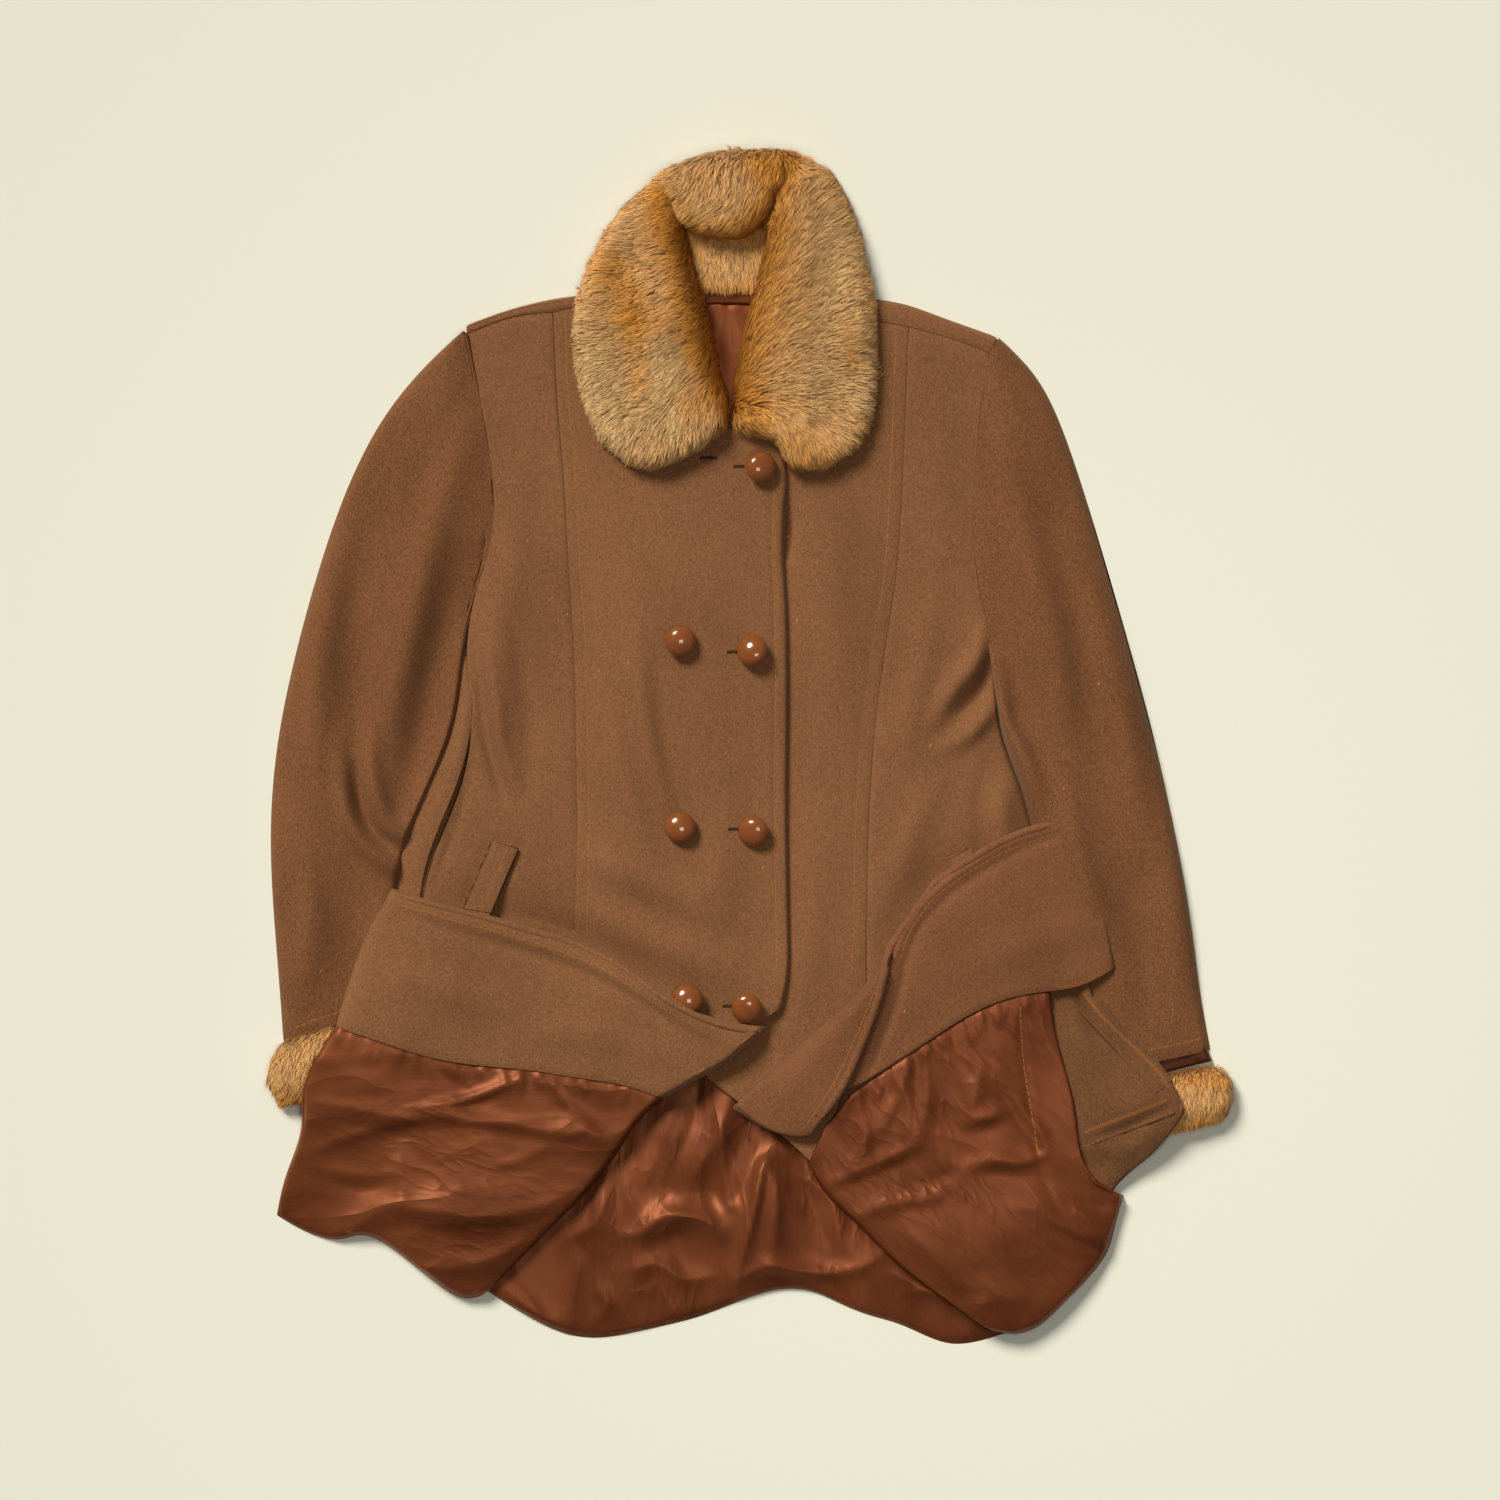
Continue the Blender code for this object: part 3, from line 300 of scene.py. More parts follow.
def spread(piece, left=0, right=0, down=0, up=0, lift=0):
    """Draws a piece out by so many millimetres at each side, to tuck under its neighbours."""
    places, _ = places_of(piece)
    share = (places - places.min(0)) / (places.max(0) - places.min(0))
    places[:, 0] += share[:, 0] * right - (1 - share[:, 0]) * left
    places[:, 1] += share[:, 1] * up - (1 - share[:, 1]) * down
    places[:, 2] += lift
    put_back(piece, places)


def dress(piece, finish, slot, *nodes):
    """Gives a piece its finish and its place on the coat."""
    piece.data.materials.append(finish)
    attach(piece, "root")
    if nodes:
        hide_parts(*nodes)
    return piece


coat = {}  # each piece of cloth, by its node's name


def sew(node, slot, finish, rounds=3, pressed=None, drawn=None):
    """One piece of cloth on its solid's form: pressed, drawn out under its neighbours and dressed."""
    piece = pick_up(node, node + {"wool": "_cloth", "lining": "_satin"}[slot], rounds)
    if pressed is not None:
        press(piece, **pressed)
    if drawn is not None:
        spread(piece, **drawn)
    coat[node] = dress(piece, finish, slot, node)


BODY_TWILL = twill("camel twill")
# The sleeves' twill is a darker copy of the body's wool: painted shade, for sleeves that turn from the light
# and lie in folds.
RIGHT_ARM_SHADED_TWILL = twill("camel twill, right sleeve, painted shade", 14, (0.119, 0.0445, 0.0148), (0.266, 0.108, 0.041))
LEFT_ARM_SHADED_TWILL = twill("camel twill, left sleeve, painted shade", -14, (0.119, 0.0445, 0.0148), (0.266, 0.108, 0.041))
BACK_DRAGS = [
    (0.9, 12, [(-120, 300), (-100, 100), (-118, -120)]),
    (0.8, 14, [(90, 260), (70, 60), (96, -160)]),
]
sew("back", "wool", BODY_TWILL, 2, dict(creases=BACK_DRAGS, let_out=3))
sew("right_under_sleeve", "wool", RIGHT_ARM_SHADED_TWILL, 2, dict(let_out=2))
sew("left_under_sleeve", "wool", LEFT_ARM_SHADED_TWILL, 2, dict(let_out=2))


# The back lining: rust satin, loose over the back, sewn in at the neck and hanging past the wool at the hem.
# It lies in deep soft folds where the open fronts have drawn it together.
def satin(name, turn=0.0, dark=(0.088, 0.019, 0.0055), light=(0.212, 0.058, 0.019)):
    """Satin that glows in its own colour: fine threads, clouded folds, and pulls and rumples as relief."""
    cloth = Finish(name, Metallic=0.28, Specular_IOR_Level=0.35, Specular_Tint=(1.0, 0.55, 0.35, 1))
    threads = cloth.noise(cloth.grain(turn, (0.06, 1, 1)), 900, 2, 0.6)
    clouds = cloth.noise(cloth.grain(turn, (0.5, 1, 1)), 14, 4, 0.6)
    tone = ((clouds - 0.5) * 2.2 + (threads - 0.5) * 0.6 + 0.5).clipped()
    cloth.feed(cloth.surface.inputs["Base Color"], cloth.shade(tone, dark, light))
    cloth.feed(cloth.surface.inputs["Roughness"], 0.36 + 0.14 * clouds)
    pulls = 1 - abs(cloth.noise(cloth.grain(turn, (0.30, 1, 1)), 17, 2, 0.45) * 2 - 1)
    rumples = 1 - abs(cloth.noise(cloth.grain(turn + 25, (0.4, 1, 1)), 45, 2, 0.5) * 2 - 1)
    where = (cloth.noise(cloth.grain(turn), 9, 1) * 5 - 2.3).clipped()
    cloth.relief((pulls ** 3.0) * 0.8 + (rumples ** 4.0) * where * 0.32 + threads * 0.008, 5.0, 0.55)
    return cloth.material


LINING = satin("rust satin", 75)
# The right front's satin is a lighter copy of the same lining: painted light.
RIGHT_TURN_LINING_PAINTED_LIGHT = satin("rust satin, right front, painted light", -6, (0.105, 0.024, 0.007), (0.236, 0.068, 0.022))
LEFT_TURN_LINING = satin("rust satin, left front", 35)
# The neck's satin is a lighter copy of the lining: painted light, against the shade that the collar casts
# there.
NECK_LINING_PAINTED_LIGHT = satin("rust satin, neck, painted light", 60, (0.145, 0.035, 0.0105), (0.34, 0.100, 0.036))
NECK_FOLDS = [
    (1.6, 6, [(-30, 355), (-26, 325), (-19, 290)]),
    (1.2, 5, [(-4, 350), (-10, 320), (-15, 285)]),
    (1.4, 3, [(-28, 366), (-22, 350), (-21, 336)]),
    (1.2, 3, [(-12, 364), (-14, 346), (-10, 330)]),
]
BACK_LINING_FOLDS = [
    (4.0, 13, [(-5, -258), (-16, -286), (-26, -317), (-43, -344), (-53, -367)]),
    (-1.4, 4, [(-39, -267), (-48, -306), (-60, -338), (-70, -371)]),
    (2.5, 10, [(-60, -288), (-70, -317), (-81, -344), (-93, -371)]),
    (-1.4, 6, [(-101, -317), (-108, -355), (-109, -401), (-110, -459)]),
    (2.6, 7, [(-116, -342), (-120, -371), (-129, -390), (-145, -401)]),
    (3.2, 6, [(-101, -399), (-87, -395), (-72, -383), (-53, -380), (-35, -387), (-22, -401)]),
    (-1.5, 12, [(-74, -405), (-60, -399), (-43, -407)]),
    (3.0, 9, [(-99, -428), (-76, -422), (-55, -434), (-28, -432)]),
    (5.0, 5, [(-11, -434), (-4, -405), (4, -373), (10, -342), (16, -335)]),
    (3.5, 7, [(16, -335), (21, -359), (20, -388), (18, -417)]),
    (-1.5, 6, [(-16, -371), (-6, -359), (0, -342), (5, -332)]),
    (3.5, 7, [(-23, -306), (-22, -338), (-18, -367), (-11, -378)]),
    (-1.5, 6, [(42, -338), (49, -367), (60, -396), (72, -415)]),
    (3.5, 6, [(-12, -436), (16, -423), (39, -428), (72, -431)]),
    (2.0, 6, [(-140, -415), (-145, -442), (-150, -476)]),
    (2.4, 8, [(-129, -472), (-118, -455), (-125, -438)]),
    (2.4, 8, [(-202, -442), (-181, -459), (-154, -474)]),
    (2.0, 7, [(9, -290), (18, -317), (37, -336)]),
    (2.5, 6, [(32, -346), (50, -354), (68, -374), (74, -410)]),
    (2.4, 7, [(8, -418), (38, -426), (74, -428), (96, -422), (112, -410)]),
    (2.2, 6, [(119, -430), (147, -444), (167, -461)]),
    (2.2, 5, [(131, -445), (147, -444), (163, -449)]),
]
sew("neck_lining", "lining", NECK_LINING_PAINTED_LIGHT, 3, dict(creases=NECK_FOLDS),
    dict(left=6, right=6, down=2, up=4))
sew("back_lining", "lining", LINING, 3,
    dict(creases=BACK_LINING_FOLDS, seam=0, crisp=1.35))

# The fronts: a centre and a side panel each, joined by princess seams, the right one lapping over the left.
# Their wool is interlined, so it lies smooth, with soft drags from the armholes and over the skirt's fold.
# Their topstitched lines come first, because the thread draws the cloth down into a groove.
TOPSTITCHED = {
    "right_centre_front": [
        [(14, 250), (20, 236), (19, 200), (18, 164), (20, 120), (21, 41), (20, -41), (21, -123), (22, -178)],
        [(-152, 359), (-149, 287), (-143, 221), (-139, 141), (-135, 90), (-133, -4), (-132, -80),
         (-134, -150)],
        [(-28, 254), (-6, 252), (10, 248)],
    ],
    "left_centre_front": [
        [(120, 340), (116, 244), (111, 150), (102, 92), (92, 15), (87, -61), (85, -150), (84, -180)],
    ],
    "right_facing": [
        [(-286, -127), (-240, -140), (-178, -157), (-122, -178), (-80, -205), (-36, -230), (-4, -242)],
    ],
    "left_facing": [
        [(252, -68), (205, -85), (172, -105), (150, -122), (132, -147), (122, -172), (104, -210), (80, -248)],
    ],
    "left_front_edge_turn": [
        [(112, -176), (98, -206), (84, -240), (66, -276), (48, -304)],
    ],
    "left_front_lining": [[(221, -209), (224, -255), (236, -330)]],
    "right_sleeve": [[(-374, -228), (-350, -219), (-310, -207), (-290, -200)]],
    "left_sleeve": [[(286, -256), (330, -246), (370, -237)]],
    "welt_right": [[(-199, -81), (-221, -133), (-245, -192)], [(-206, -76), (-190, -79)]],
    "welt_left": [[(176, -88), (184, -106)]],
}
FRONT_DRAGS = [
    (1.8, 16, [(-190, 230), (-196, 150), (-205, 90), (-200, 30)]),
    (-2.4, 5, [(-228, 100), (-221, 60), (-217, 14), (-205, -28), (-198, -40)]),
    (2.2, 7, [(-216, 84), (-208, 40), (-204, 6), (-192, -26)]),
    (-1.2, 9, [(-196, 110), (-184, 40), (-180, -30)]),
    (1.8, 7, [(-230, 30), (-238, -20), (-256, -80)]),
    (-1.0, 4.0, [(-226, 10), (-232, -30), (-246, -74), (-258, -110)]),
    (-1.0, 1.8, [(-213, -71), (-187, -79)]), (-1.0, 1.8, [(-187, -76), (-214, -136)]),
    (-1.0, 1.8, [(-212, -70), (-237, -130)]),
    (-3.9, 20, [(-262, -124), (-217, -135), (-178, -146), (-147, -156), (-116, -169), (-80, -192),
                (-46, -212), (-10, -228)]),
    (-2.2, 18, [(240, -64), (200, -80), (166, -98), (140, -122), (122, -150), (106, -182), (84, -220)]),
    (1.8, 26, [(-110, 180), (-96, 60), (-104, -60)]),
    (3.2, 17, [(-130, -90), (-90, -106), (-54, -126), (-14, -148)]),
    (1.1, 8, [(-94, 96), (-80, -8), (-44, -118)]), (-0.9, 7, [(-80, 90), (-66, -8), (-34, -100)]),
    (1.0, 8, [(-124, 156), (-114, 40), (-84, -86)]), (1.0, 9, [(-40, 150), (-22, 110), (-4, 84)]),
    (-0.8, 8, [(-56, 330), (-70, 270), (-60, 200)]), (1.0, 9, [(60, 300), (52, 250), (56, 190)]),
    (1.6, 20, [(-40, 30), (-20, -60), (-30, -150)]),
    (-1.4, 22, [(-120, -110), (-60, -134), (10, -150)]),
    (2.2, 16, [(-130, -134), (-70, -160), (0, -186)]),
    (3.6, 8, [(193, 100), (184, 72), (166, 50), (150, 22)]),
    (-2.6, 6, [(202, 82), (192, 56), (180, 38), (168, 26)]),
    (3.2, 7, [(206, 44), (192, 26), (178, 12), (160, 2)]),
    (2.4, 14, [(150, 120), (140, 60), (128, 0)]),
    (1.8, 20, [(70, 220), (62, 120), (74, 20)]),
    (2.2, 12, [(212, -20), (206, -60), (220, -110)]),
    (-1.5, 9, [(196, -10), (190, -60), (200, -100)]),
    (1.8, 18, [(60, -60), (52, -150), (40, -220)]),
    (-3.0, 3.5, [(30, 202), (33, 182), (31, 158)]),
    (2.0, 14, [(150, -30), (132, -70), (120, -110)]),
]
for node, rounds, flat, drawn in (
        ("left_centre_front", 3, (214, 756, 0.120), None),
        ("left_side_front", 3, (190, 802, 0.099), None),
        ("right_side_front", 3, (131, 761, 0.0735), None),
        ("right_side_back", 2, (66, 492, 0.0136), dict(up=18, left=3)),
        ("right_centre_front", 3, (199, 732, 0.109), None)):
    grooves = [(-0.45, 1.6, line) for line in TOPSTITCHED.get(node, [])]
    sew(node, "wool", BODY_TWILL, rounds,
        dict(creases=FRONT_DRAGS + grooves, deepen=2.2), drawn)

# The shoulder strips: the back comes forward over each shoulder to a seam that the fronts meet.
# Each strip is the same wool as the back, rolled over the coat's top edge and pressed flat at its seam.
for side, length, area in (("right", 114, 0.0024), ("left", 126, 0.0031)):
    sew("back_shoulder_" + side, "wool", BODY_TWILL, 2,
        dict(seam=0.8, let_out=2.0))

# The sleeves, two-piece and set in at the armhole, lie with the elbow's fullness in soft folds.
# They are of the coat's wool, painted darker than the body as shade, and a bit of the left one's satin lining
# is drawn out above its cuff.
RIGHT_ELBOW = [
    (3.0, 16, [(-232, 260), (-262, 170), (-282, 80), (-296, 10)]),
    (-2.4, 16, [(-240, 150), (-262, 60), (-278, -20), (-300, -70)]),
    (3.4, 11, [(-232, 96), (-242, 30), (-256, -20), (-276, -58)]),
    (3.0, 15, [(-340, 160), (-356, 70), (-352, -20), (-342, -80)]),
    (-2.0, 15, [(-310, 190), (-326, 90), (-318, 10)]),
    (3.0, 8, [(-336, 10), (-334, -30), (-326, -62), (-306, -88), (-284, -100)]),
    (-3.0, 5, [(-324, -14), (-321, -41), (-311, -66), (-288, -86)]),
    (2.6, 8, [(-312, 20), (-310, -20), (-298, -56), (-282, -72)]),
    (2.4, 13, [(-372, -60), (-360, -130), (-366, -200)]),
    (-1.8, 16, [(-330, -100), (-324, -150), (-330, -210)]),
    (2.0, 12, [(-300, -110), (-304, -150), (-298, -190)]),
]
LEFT_ELBOW = [
    (2.6, 40, [(196, 170), (216, 70), (250, -40), (285, -180)]),
    (3.0, 15, [(206, 250), (228, 170), (250, 90), (258, 30)]),
    (-2.4, 13, [(204, 150), (214, 80), (238, 10), (252, -60)]),
    (3.2, 10, [(200, 70), (208, 30), (224, 0), (238, -40)]),
    (-2.0, 8, [(214, 40), (224, 12), (240, -14)]),
    (3.0, 16, [(264, 180), (292, 90), (312, 0), (322, -80)]),
    (-2.0, 16, [(286, 190), (318, 90), (336, 0)]),
    (2.6, 12, [(258, -40), (272, -100), (290, -160)]),
    (2.4, 14, [(336, -60), (348, -130), (356, -210)]),
    (-1.8, 14, [(306, -100), (322, -170), (330, -230)]),
]
# The lining drawn out above the left cuff is painted far darker than the other satin: painted shade under the
# sleeve's hem.
SHADED_SLEEVE_LINING = satin("rust satin, inside the sleeve, painted shade", 10, (0.05, 0.014, 0.006), (0.10, 0.032, 0.014))
sew("right_sleeve", "wool", RIGHT_ARM_SHADED_TWILL, 3,
    dict(creases=RIGHT_ELBOW, deepen=2.9, let_out=1.2))
sew("left_sleeve", "wool", LEFT_ARM_SHADED_TWILL, 3,
    dict(creases=LEFT_ELBOW, deepen=2.9, let_out=1.0))
sew("left_sleeve_lining", "lining", SHADED_SLEEVE_LINING, 2,
    drawn=dict(left=2, right=-5, up=7))

# The pocket welts: strips of the same wool, folded in two and set into the side fronts at a slant.
# Each stands a little proud of its front, with its twill running along the slant.
for side, turn in (("right", -23), ("left", 23)):
    sew("welt_" + side, "wool", twill("camel twill, " + side + " welt", turn),
        3, dict(seam=0.6, let_out=0.2), dict(lift=0.2))


# The right skirt front, folded back over the body: its shell below, its wool facing and its lining on top.
# The lining is eased into the facing seam with small pleats and lies in long folds towards the fold.
def measured(points):
    """A soft line, and how far along it each of its points lies."""
    line = soft_line(points)
    return line, np.concatenate([[0], np.cumsum(np.linalg.norm(np.diff(line, axis=0), axis=1))])


def spot_at(line, travelled, far):
    """The place that lies so many millimetres along a measured line."""
    return [np.interp(far, travelled, line[:, axis]) for axis in (0, 1)]


def puckers(seam, seed, pitch=11):
    """Small pleats that run from a sewn seam down into the lining."""
    draw = np.random.RandomState(seed)
    line, travelled = measured(seam)
    pleats = []
    far = pitch / 2
    while far < travelled[-1] - 4:
        x, y = spot_at(line, travelled, far)
        deep, slant = draw.uniform(9, 24), draw.uniform(-0.35, 0.35)
        pleats.append((draw.uniform(0.6, 1.5), draw.uniform(2.2, 3.6),
                       [(x, y + 2), (x + deep * slant * 0.5, y - deep * 0.5), (x + deep * slant, y - deep)]))
        far += pitch * draw.uniform(0.6, 1.5)
    return pleats


RIGHT_TURN_TWILL = twill("camel twill, right facing", 16)
RIGHT_FACING_FOLDS = [
    (1.8, 7, [(-290, -124), (-220, -144), (-150, -166), (-95, -192), (-40, -226), (0, -240)]),
    (-1.2, 5, [(-286, -136), (-216, -156), (-146, -178), (-92, -204), (-50, -230)]),
    (2.0, 16, [(-300, -180), (-240, -200), (-180, -214)]),
    (1.6, 14, [(-190, -236), (-130, -232), (-70, -250)]),
]
RIGHT_LINING_FOLDS = [
    (3.0, 7, [(-329, -306), (-274, -301), (-250, -298), (-226, -303), (-190, -307), (-154, -313),
              (-118, -320), (-98, -311)]),
    (-1.2, 6, [(-298, -311), (-250, -308), (-202, -314), (-142, -323)]),
    (2.6, 5, [(-283, -294), (-250, -290), (-226, -284), (-202, -275), (-182, -266)]),
    (-1.2, 4, [(-276, -298), (-245, -294), (-219, -289), (-194, -277)]),
    (2.2, 6, [(-366, -288), (-339, -290), (-298, -298), (-274, -301)]),
    (-1.0, 5, [(-365, -298), (-329, -306), (-305, -308)]),
    (2.0, 6, [(-360, -330), (-339, -320), (-310, -311), (-283, -306)]),
    (2.2, 8, [(-360, -340), (-322, -349), (-293, -347)]),
    (-1.2, 7, [(-360, -349), (-322, -360), (-298, -357)]),
    (3.0, 10, [(-339, -397), (-317, -387), (-298, -376), (-262, -377), (-226, -382), (-190, -379),
               (-166, -372), (-142, -359)]),
    (-1.4, 9, [(-315, -397), (-283, -389), (-238, -393), (-190, -390), (-158, -378)]),
    (2.6, 6, [(-158, -305), (-139, -306), (-125, -313), (-98, -310)]),
    (2.2, 4, [(-151, -316), (-134, -311), (-120, -318)]),
    (2.5, 9, [(-283, -423), (-250, -425), (-211, -417), (-187, -402)]),
    (2.0, 9, [(-283, -325), (-288, -349), (-283, -373)]),
    (1.6, 5, [(-163, -270), (-154, -284), (-142, -296)]),
    (1.5, 6, [(-214, -340), (-187, -335), (-166, -325)]),
    (1.8, 12, [(-250, -340), (-231, -359), (-202, -364)]),
]
RIGHT_FACING_SEAM = [(-339, -226), (-300, -239), (-261, -252), (-226, -258), (-170, -263), (-139, -269),
                     (-102, -273), (-76, -283)]
sew("right_turned_shell", "wool", RIGHT_TURN_TWILL, 2)
sew("right_facing", "wool", RIGHT_TURN_TWILL, 3,
    dict(creases=RIGHT_FACING_FOLDS))
sew("right_front_lining", "lining", RIGHT_TURN_LINING_PAINTED_LIGHT, 3,
    dict(creases=RIGHT_LINING_FOLDS + puckers(RIGHT_FACING_SEAM, seed=11), seam=0.8, crisp=1.35))

# The left skirt front, folded back the same way, with its front edge turned over once more.
# Its lining hangs free of the shell at the hem, so the shell's inside and its allowances show beside it.
# The left facing's twill is a darker copy of the coat's wool: painted shade.
LEFT_TURN_SHADED_TWILL = twill("camel twill, left facing, painted shade", -32, (0.138, 0.051, 0.0187), (0.257, 0.102, 0.041))
# The shell's inside and its allowances show the wool's wrong side, painted darker than its face as shade
# under the folded skirt.
WRONG_SIDE_SHADED = twill("camel twill, wrong side, painted shade", -20, (0.105, 0.042, 0.015), (0.210, 0.090, 0.034))
SHELL_FOLDS = [
    (-4.0, 4.5, [(266, -200), (277, -216), (290, -240)]),
    (2.6, 7, [(276, -204), (292, -222), (304, -246)]),
    (2.0, 8, [(262, -222), (270, -246), (272, -270)]),
    (-2.0, 7, [(296, -246), (300, -268), (314, -284)]),
    (2.2, 9, [(292, -336), (318, -322), (336, -306)]),
    (-1.6, 5, [(276, -322), (312, -308), (346, -292)]),
    (-3.4, 6, [(272, -334), (288, -340), (300, -334)]),
]
ROLLED_EDGE = [
    (2.2, 4.5, [(254, -62), (233, -67), (205, -79), (169, -101), (147, -119), (128, -143), (118, -169),
                (110, -203), (98, -236), (82, -273), (62, -303)]),
    (-1.4, 3, [(250, -72), (234, -77), (209, -90), (176, -110), (155, -128), (138, -149), (129, -172),
               (121, -205), (108, -240), (92, -277), (70, -306)]),
]
LEFT_FACING_FOLDS = [
    (1.8, 16, [(284, -140), (220, -160), (170, -180)]),
]
LEFT_LINING_FOLDS = [
    (2.6, 6, [(61, -358), (88, -345), (118, -332), (137, -323)]),
    (-1.2, 5, [(68, -358), (94, -350), (119, -339), (137, -330)]),
    (2.2, 6, [(86, -382), (108, -373), (127, -368), (147, -366), (167, -356)]),
    (-1.3, 7, [(119, -358), (145, -356), (165, -347), (175, -340)]),
    (2.6, 7, [(108, -308), (118, -290), (125, -271), (127, -255)]),
    (2.4, 6, [(127, -271), (130, -294), (127, -322)]),
    (2.6, 8, [(143, -259), (145, -283), (141, -306), (135, -324)]),
    (2.4, 7, [(187, -263), (183, -283), (177, -303)]),
    (3.0, 5, [(177, -304), (193, -300), (209, -296)]),
    (-1.3, 5, [(181, -309), (193, -311), (205, -306)]),
    (3.0, 5, [(173, -342), (199, -336), (223, -337), (240, -332)]),
    (-1.3, 6, [(187, -348), (207, -347), (239, -352)]),
    (-1.2, 5, [(207, -285), (225, -310), (239, -330)]),
    (2.4, 6, [(215, -283), (231, -304), (243, -322)]),
    (2.6, 5, [(264, -373), (276, -384), (291, -408)]),
    (-1.2, 5, [(243, -388), (267, -401), (288, -411)]),
    (2.4, 5, [(245, -384), (267, -395), (286, -406)]),
    (-1.2, 5, [(263, -370), (282, -374), (298, -374)]),
    (2.6, 14, [(183, -430), (207, -447), (227, -455)]),
    (2.6, 18, [(119, -382), (147, -410), (177, -445)]),
    (2.0, 12, [(203, -374), (237, -374), (267, -386)]),
    (1.6, 5, [(183, -456), (199, -450)]),
    (2.2, 8, [(74, -302), (84, -283), (98, -267)]),
    (2.0, 7, [(92, -300), (94, -322), (82, -340)]),
    (-1.0, 2.5, [(221, -209), (224, -255), (239, -347), (262, -390)]),
]
LEFT_FACING_SEAM = [(246, -198), (212, -204), (176, -220), (139, -245), (106, -266), (80, -280)]
EDGE_TURN_FOLDS = [
    (1.5, 9, [(90, -200), (56, -246), (16, -296)]),
]
sew("left_turned_shell", "wool", WRONG_SIDE_SHADED, 2,
    dict(creases=SHELL_FOLDS, deepen=2.0))
sew("left_facing", "wool", LEFT_TURN_SHADED_TWILL, 3,
    dict(creases=ROLLED_EDGE + LEFT_FACING_FOLDS))
sew("left_front_lining", "lining", LEFT_TURN_LINING, 3,
    dict(creases=LEFT_LINING_FOLDS + puckers(LEFT_FACING_SEAM, seed=12), seam=0.6, crisp=1.35))
sew("left_front_edge_turn", "wool", LEFT_TURN_SHADED_TWILL, 2,
    dict(creases=ROLLED_EDGE + EDGE_TURN_FOLDS, seam=0))
for node, flat, drawn in (
        ("left_side_seam_allowance", (18, 76, 0.0012), dict(lift=-2.6)),
        ("left_hem_allowance", (22, 105, 0.0020), dict(left=12, right=10, down=9, up=13, lift=-1.8))):
    sew(node, "wool", WRONG_SIDE_SHADED, 3,
        dict(creases=SHELL_FOLDS, seam=0, deepen=2.0), drawn)

# The neck binding: a strip of the lining's satin that covers the neck seam, below the collar's stand.
# It is sewn down on the neck lining, and drawn out here to both falls of the collar.
sew("neck_binding", "lining", LINING, 2,
    drawn=dict(left=8, right=8, down=1, up=2, lift=1.5))


# The topstitching: one row of orange-brown thread, ten millimetres inside the edges and beside the seams.
# One stitch is modelled once, a pressed loop of thread, and copied along each row.
def thread(name, colour):
    finish = Finish(name, Roughness=0.75, Specular_IOR_Level=0.15)
    twist = finish.noise(finish.grain(), 1500, 1)
    dark, light = [tuple(share * part for part in colour) for share in (0.75, 1.2)]
    finish.feed(finish.surface.inputs["Base Color"], finish.shade(twist, dark, light))
    return finish.material


def one_stitch(length, width):
    """A single stitch along +X: a six-sided bar whose ends dip into the cloth."""
    bpy.ops.object.select_all(action="DESELECT")
    bpy.ops.mesh.primitive_cylinder_add(vertices=6, radius=width / 2 * MM, depth=length * MM,
                                        rotation=(0, math.pi / 2, 0), end_fill_type="TRIFAN")
    bar = bpy.context.object
    bpy.ops.object.transform_apply(rotation=True)
    places, _ = places_of(bar)
    places[:, 2] = places[:, 2] * 0.8 - (np.abs(places[:, 0]) / (length / 2)) ** 2 * width * 0.35
    faces = [tuple(face.vertices) for face in bar.data.polygons]
    bpy.data.objects.remove(bar, do_unlink=True)
    return places, faces


def cloth_top(pieces):
    """What a thread or a hair lies on: the pieces' upper surfaces."""
    points, faces = [], []
    for piece in pieces:
        first = len(points)
        points += [vertex.co / MM for vertex in piece.data.vertices]
        faces += [tuple(first + index for index in face.vertices) for face in piece.data.polygons]
    return BVHTree.FromPolygons(points, faces)


def strew(name, pattern, spots):
    """One mesh of many copies of a pattern: each spot has a place, and a direction along the cloth."""
    places, faces = pattern
    all_places, all_faces = [], []
    for number, (spot, ahead, normal) in enumerate(spots):
        ahead = (ahead - normal * ahead.dot(normal)).normalized()
        turn = np.array([ahead, normal.cross(ahead), normal])
        all_places.append(places @ turn + np.array(spot))
        all_faces += [tuple(number * len(places) + index for index in face) for face in faces]
    mesh = bpy.data.meshes.new(name)
    mesh.from_pydata((np.vstack(all_places) * MM).tolist(), [], all_faces)
    piece = bpy.data.objects.new(name, mesh)
    bpy.context.scene.collection.objects.link(piece)
    return piece


RAY_HEIGHT = 200
THREAD_RISE = 0.12


def stitch_row(ground, points, pitch, cross=False):
    """Evenly spaced spots on the cloth along a line, with the way that each stitch runs."""
    line, travelled = measured(points)
    spots = []
    for far in np.arange(pitch / 2, travelled[-1], pitch):
        x, y = spot_at(line, travelled, far)
        ahead = np.subtract(spot_at(line, travelled, far + 0.5), spot_at(line, travelled, far - 0.5))
        hit, normal, _, _ = ground.ray_cast(Vector((x, y, RAY_HEIGHT)), Vector((0, 0, -1)))
        if hit is None or normal.z < 0.2:
            continue
        way = Vector((-ahead[1], ahead[0], 0)) if cross else Vector((ahead[0], ahead[1], 0))
        spots.append((hit + normal * THREAD_RISE, way, normal))
    return spots


def stitches(name, spots, length, width, finish):
    """Lays one stitch of thread at every spot, all in one piece."""
    dress(strew(name, one_stitch(length, width), spots), finish, "wool")


rows = []
for panel, lines in TOPSTITCHED.items():
    panel_ground = cloth_top([coat[panel]])
    for points in lines:
        rows += stitch_row(panel_ground, points, 5.4)
stitches("topstitching", rows, 4.0, 1.05, thread("orange-brown thread", (0.38, 0.15, 0.030)))

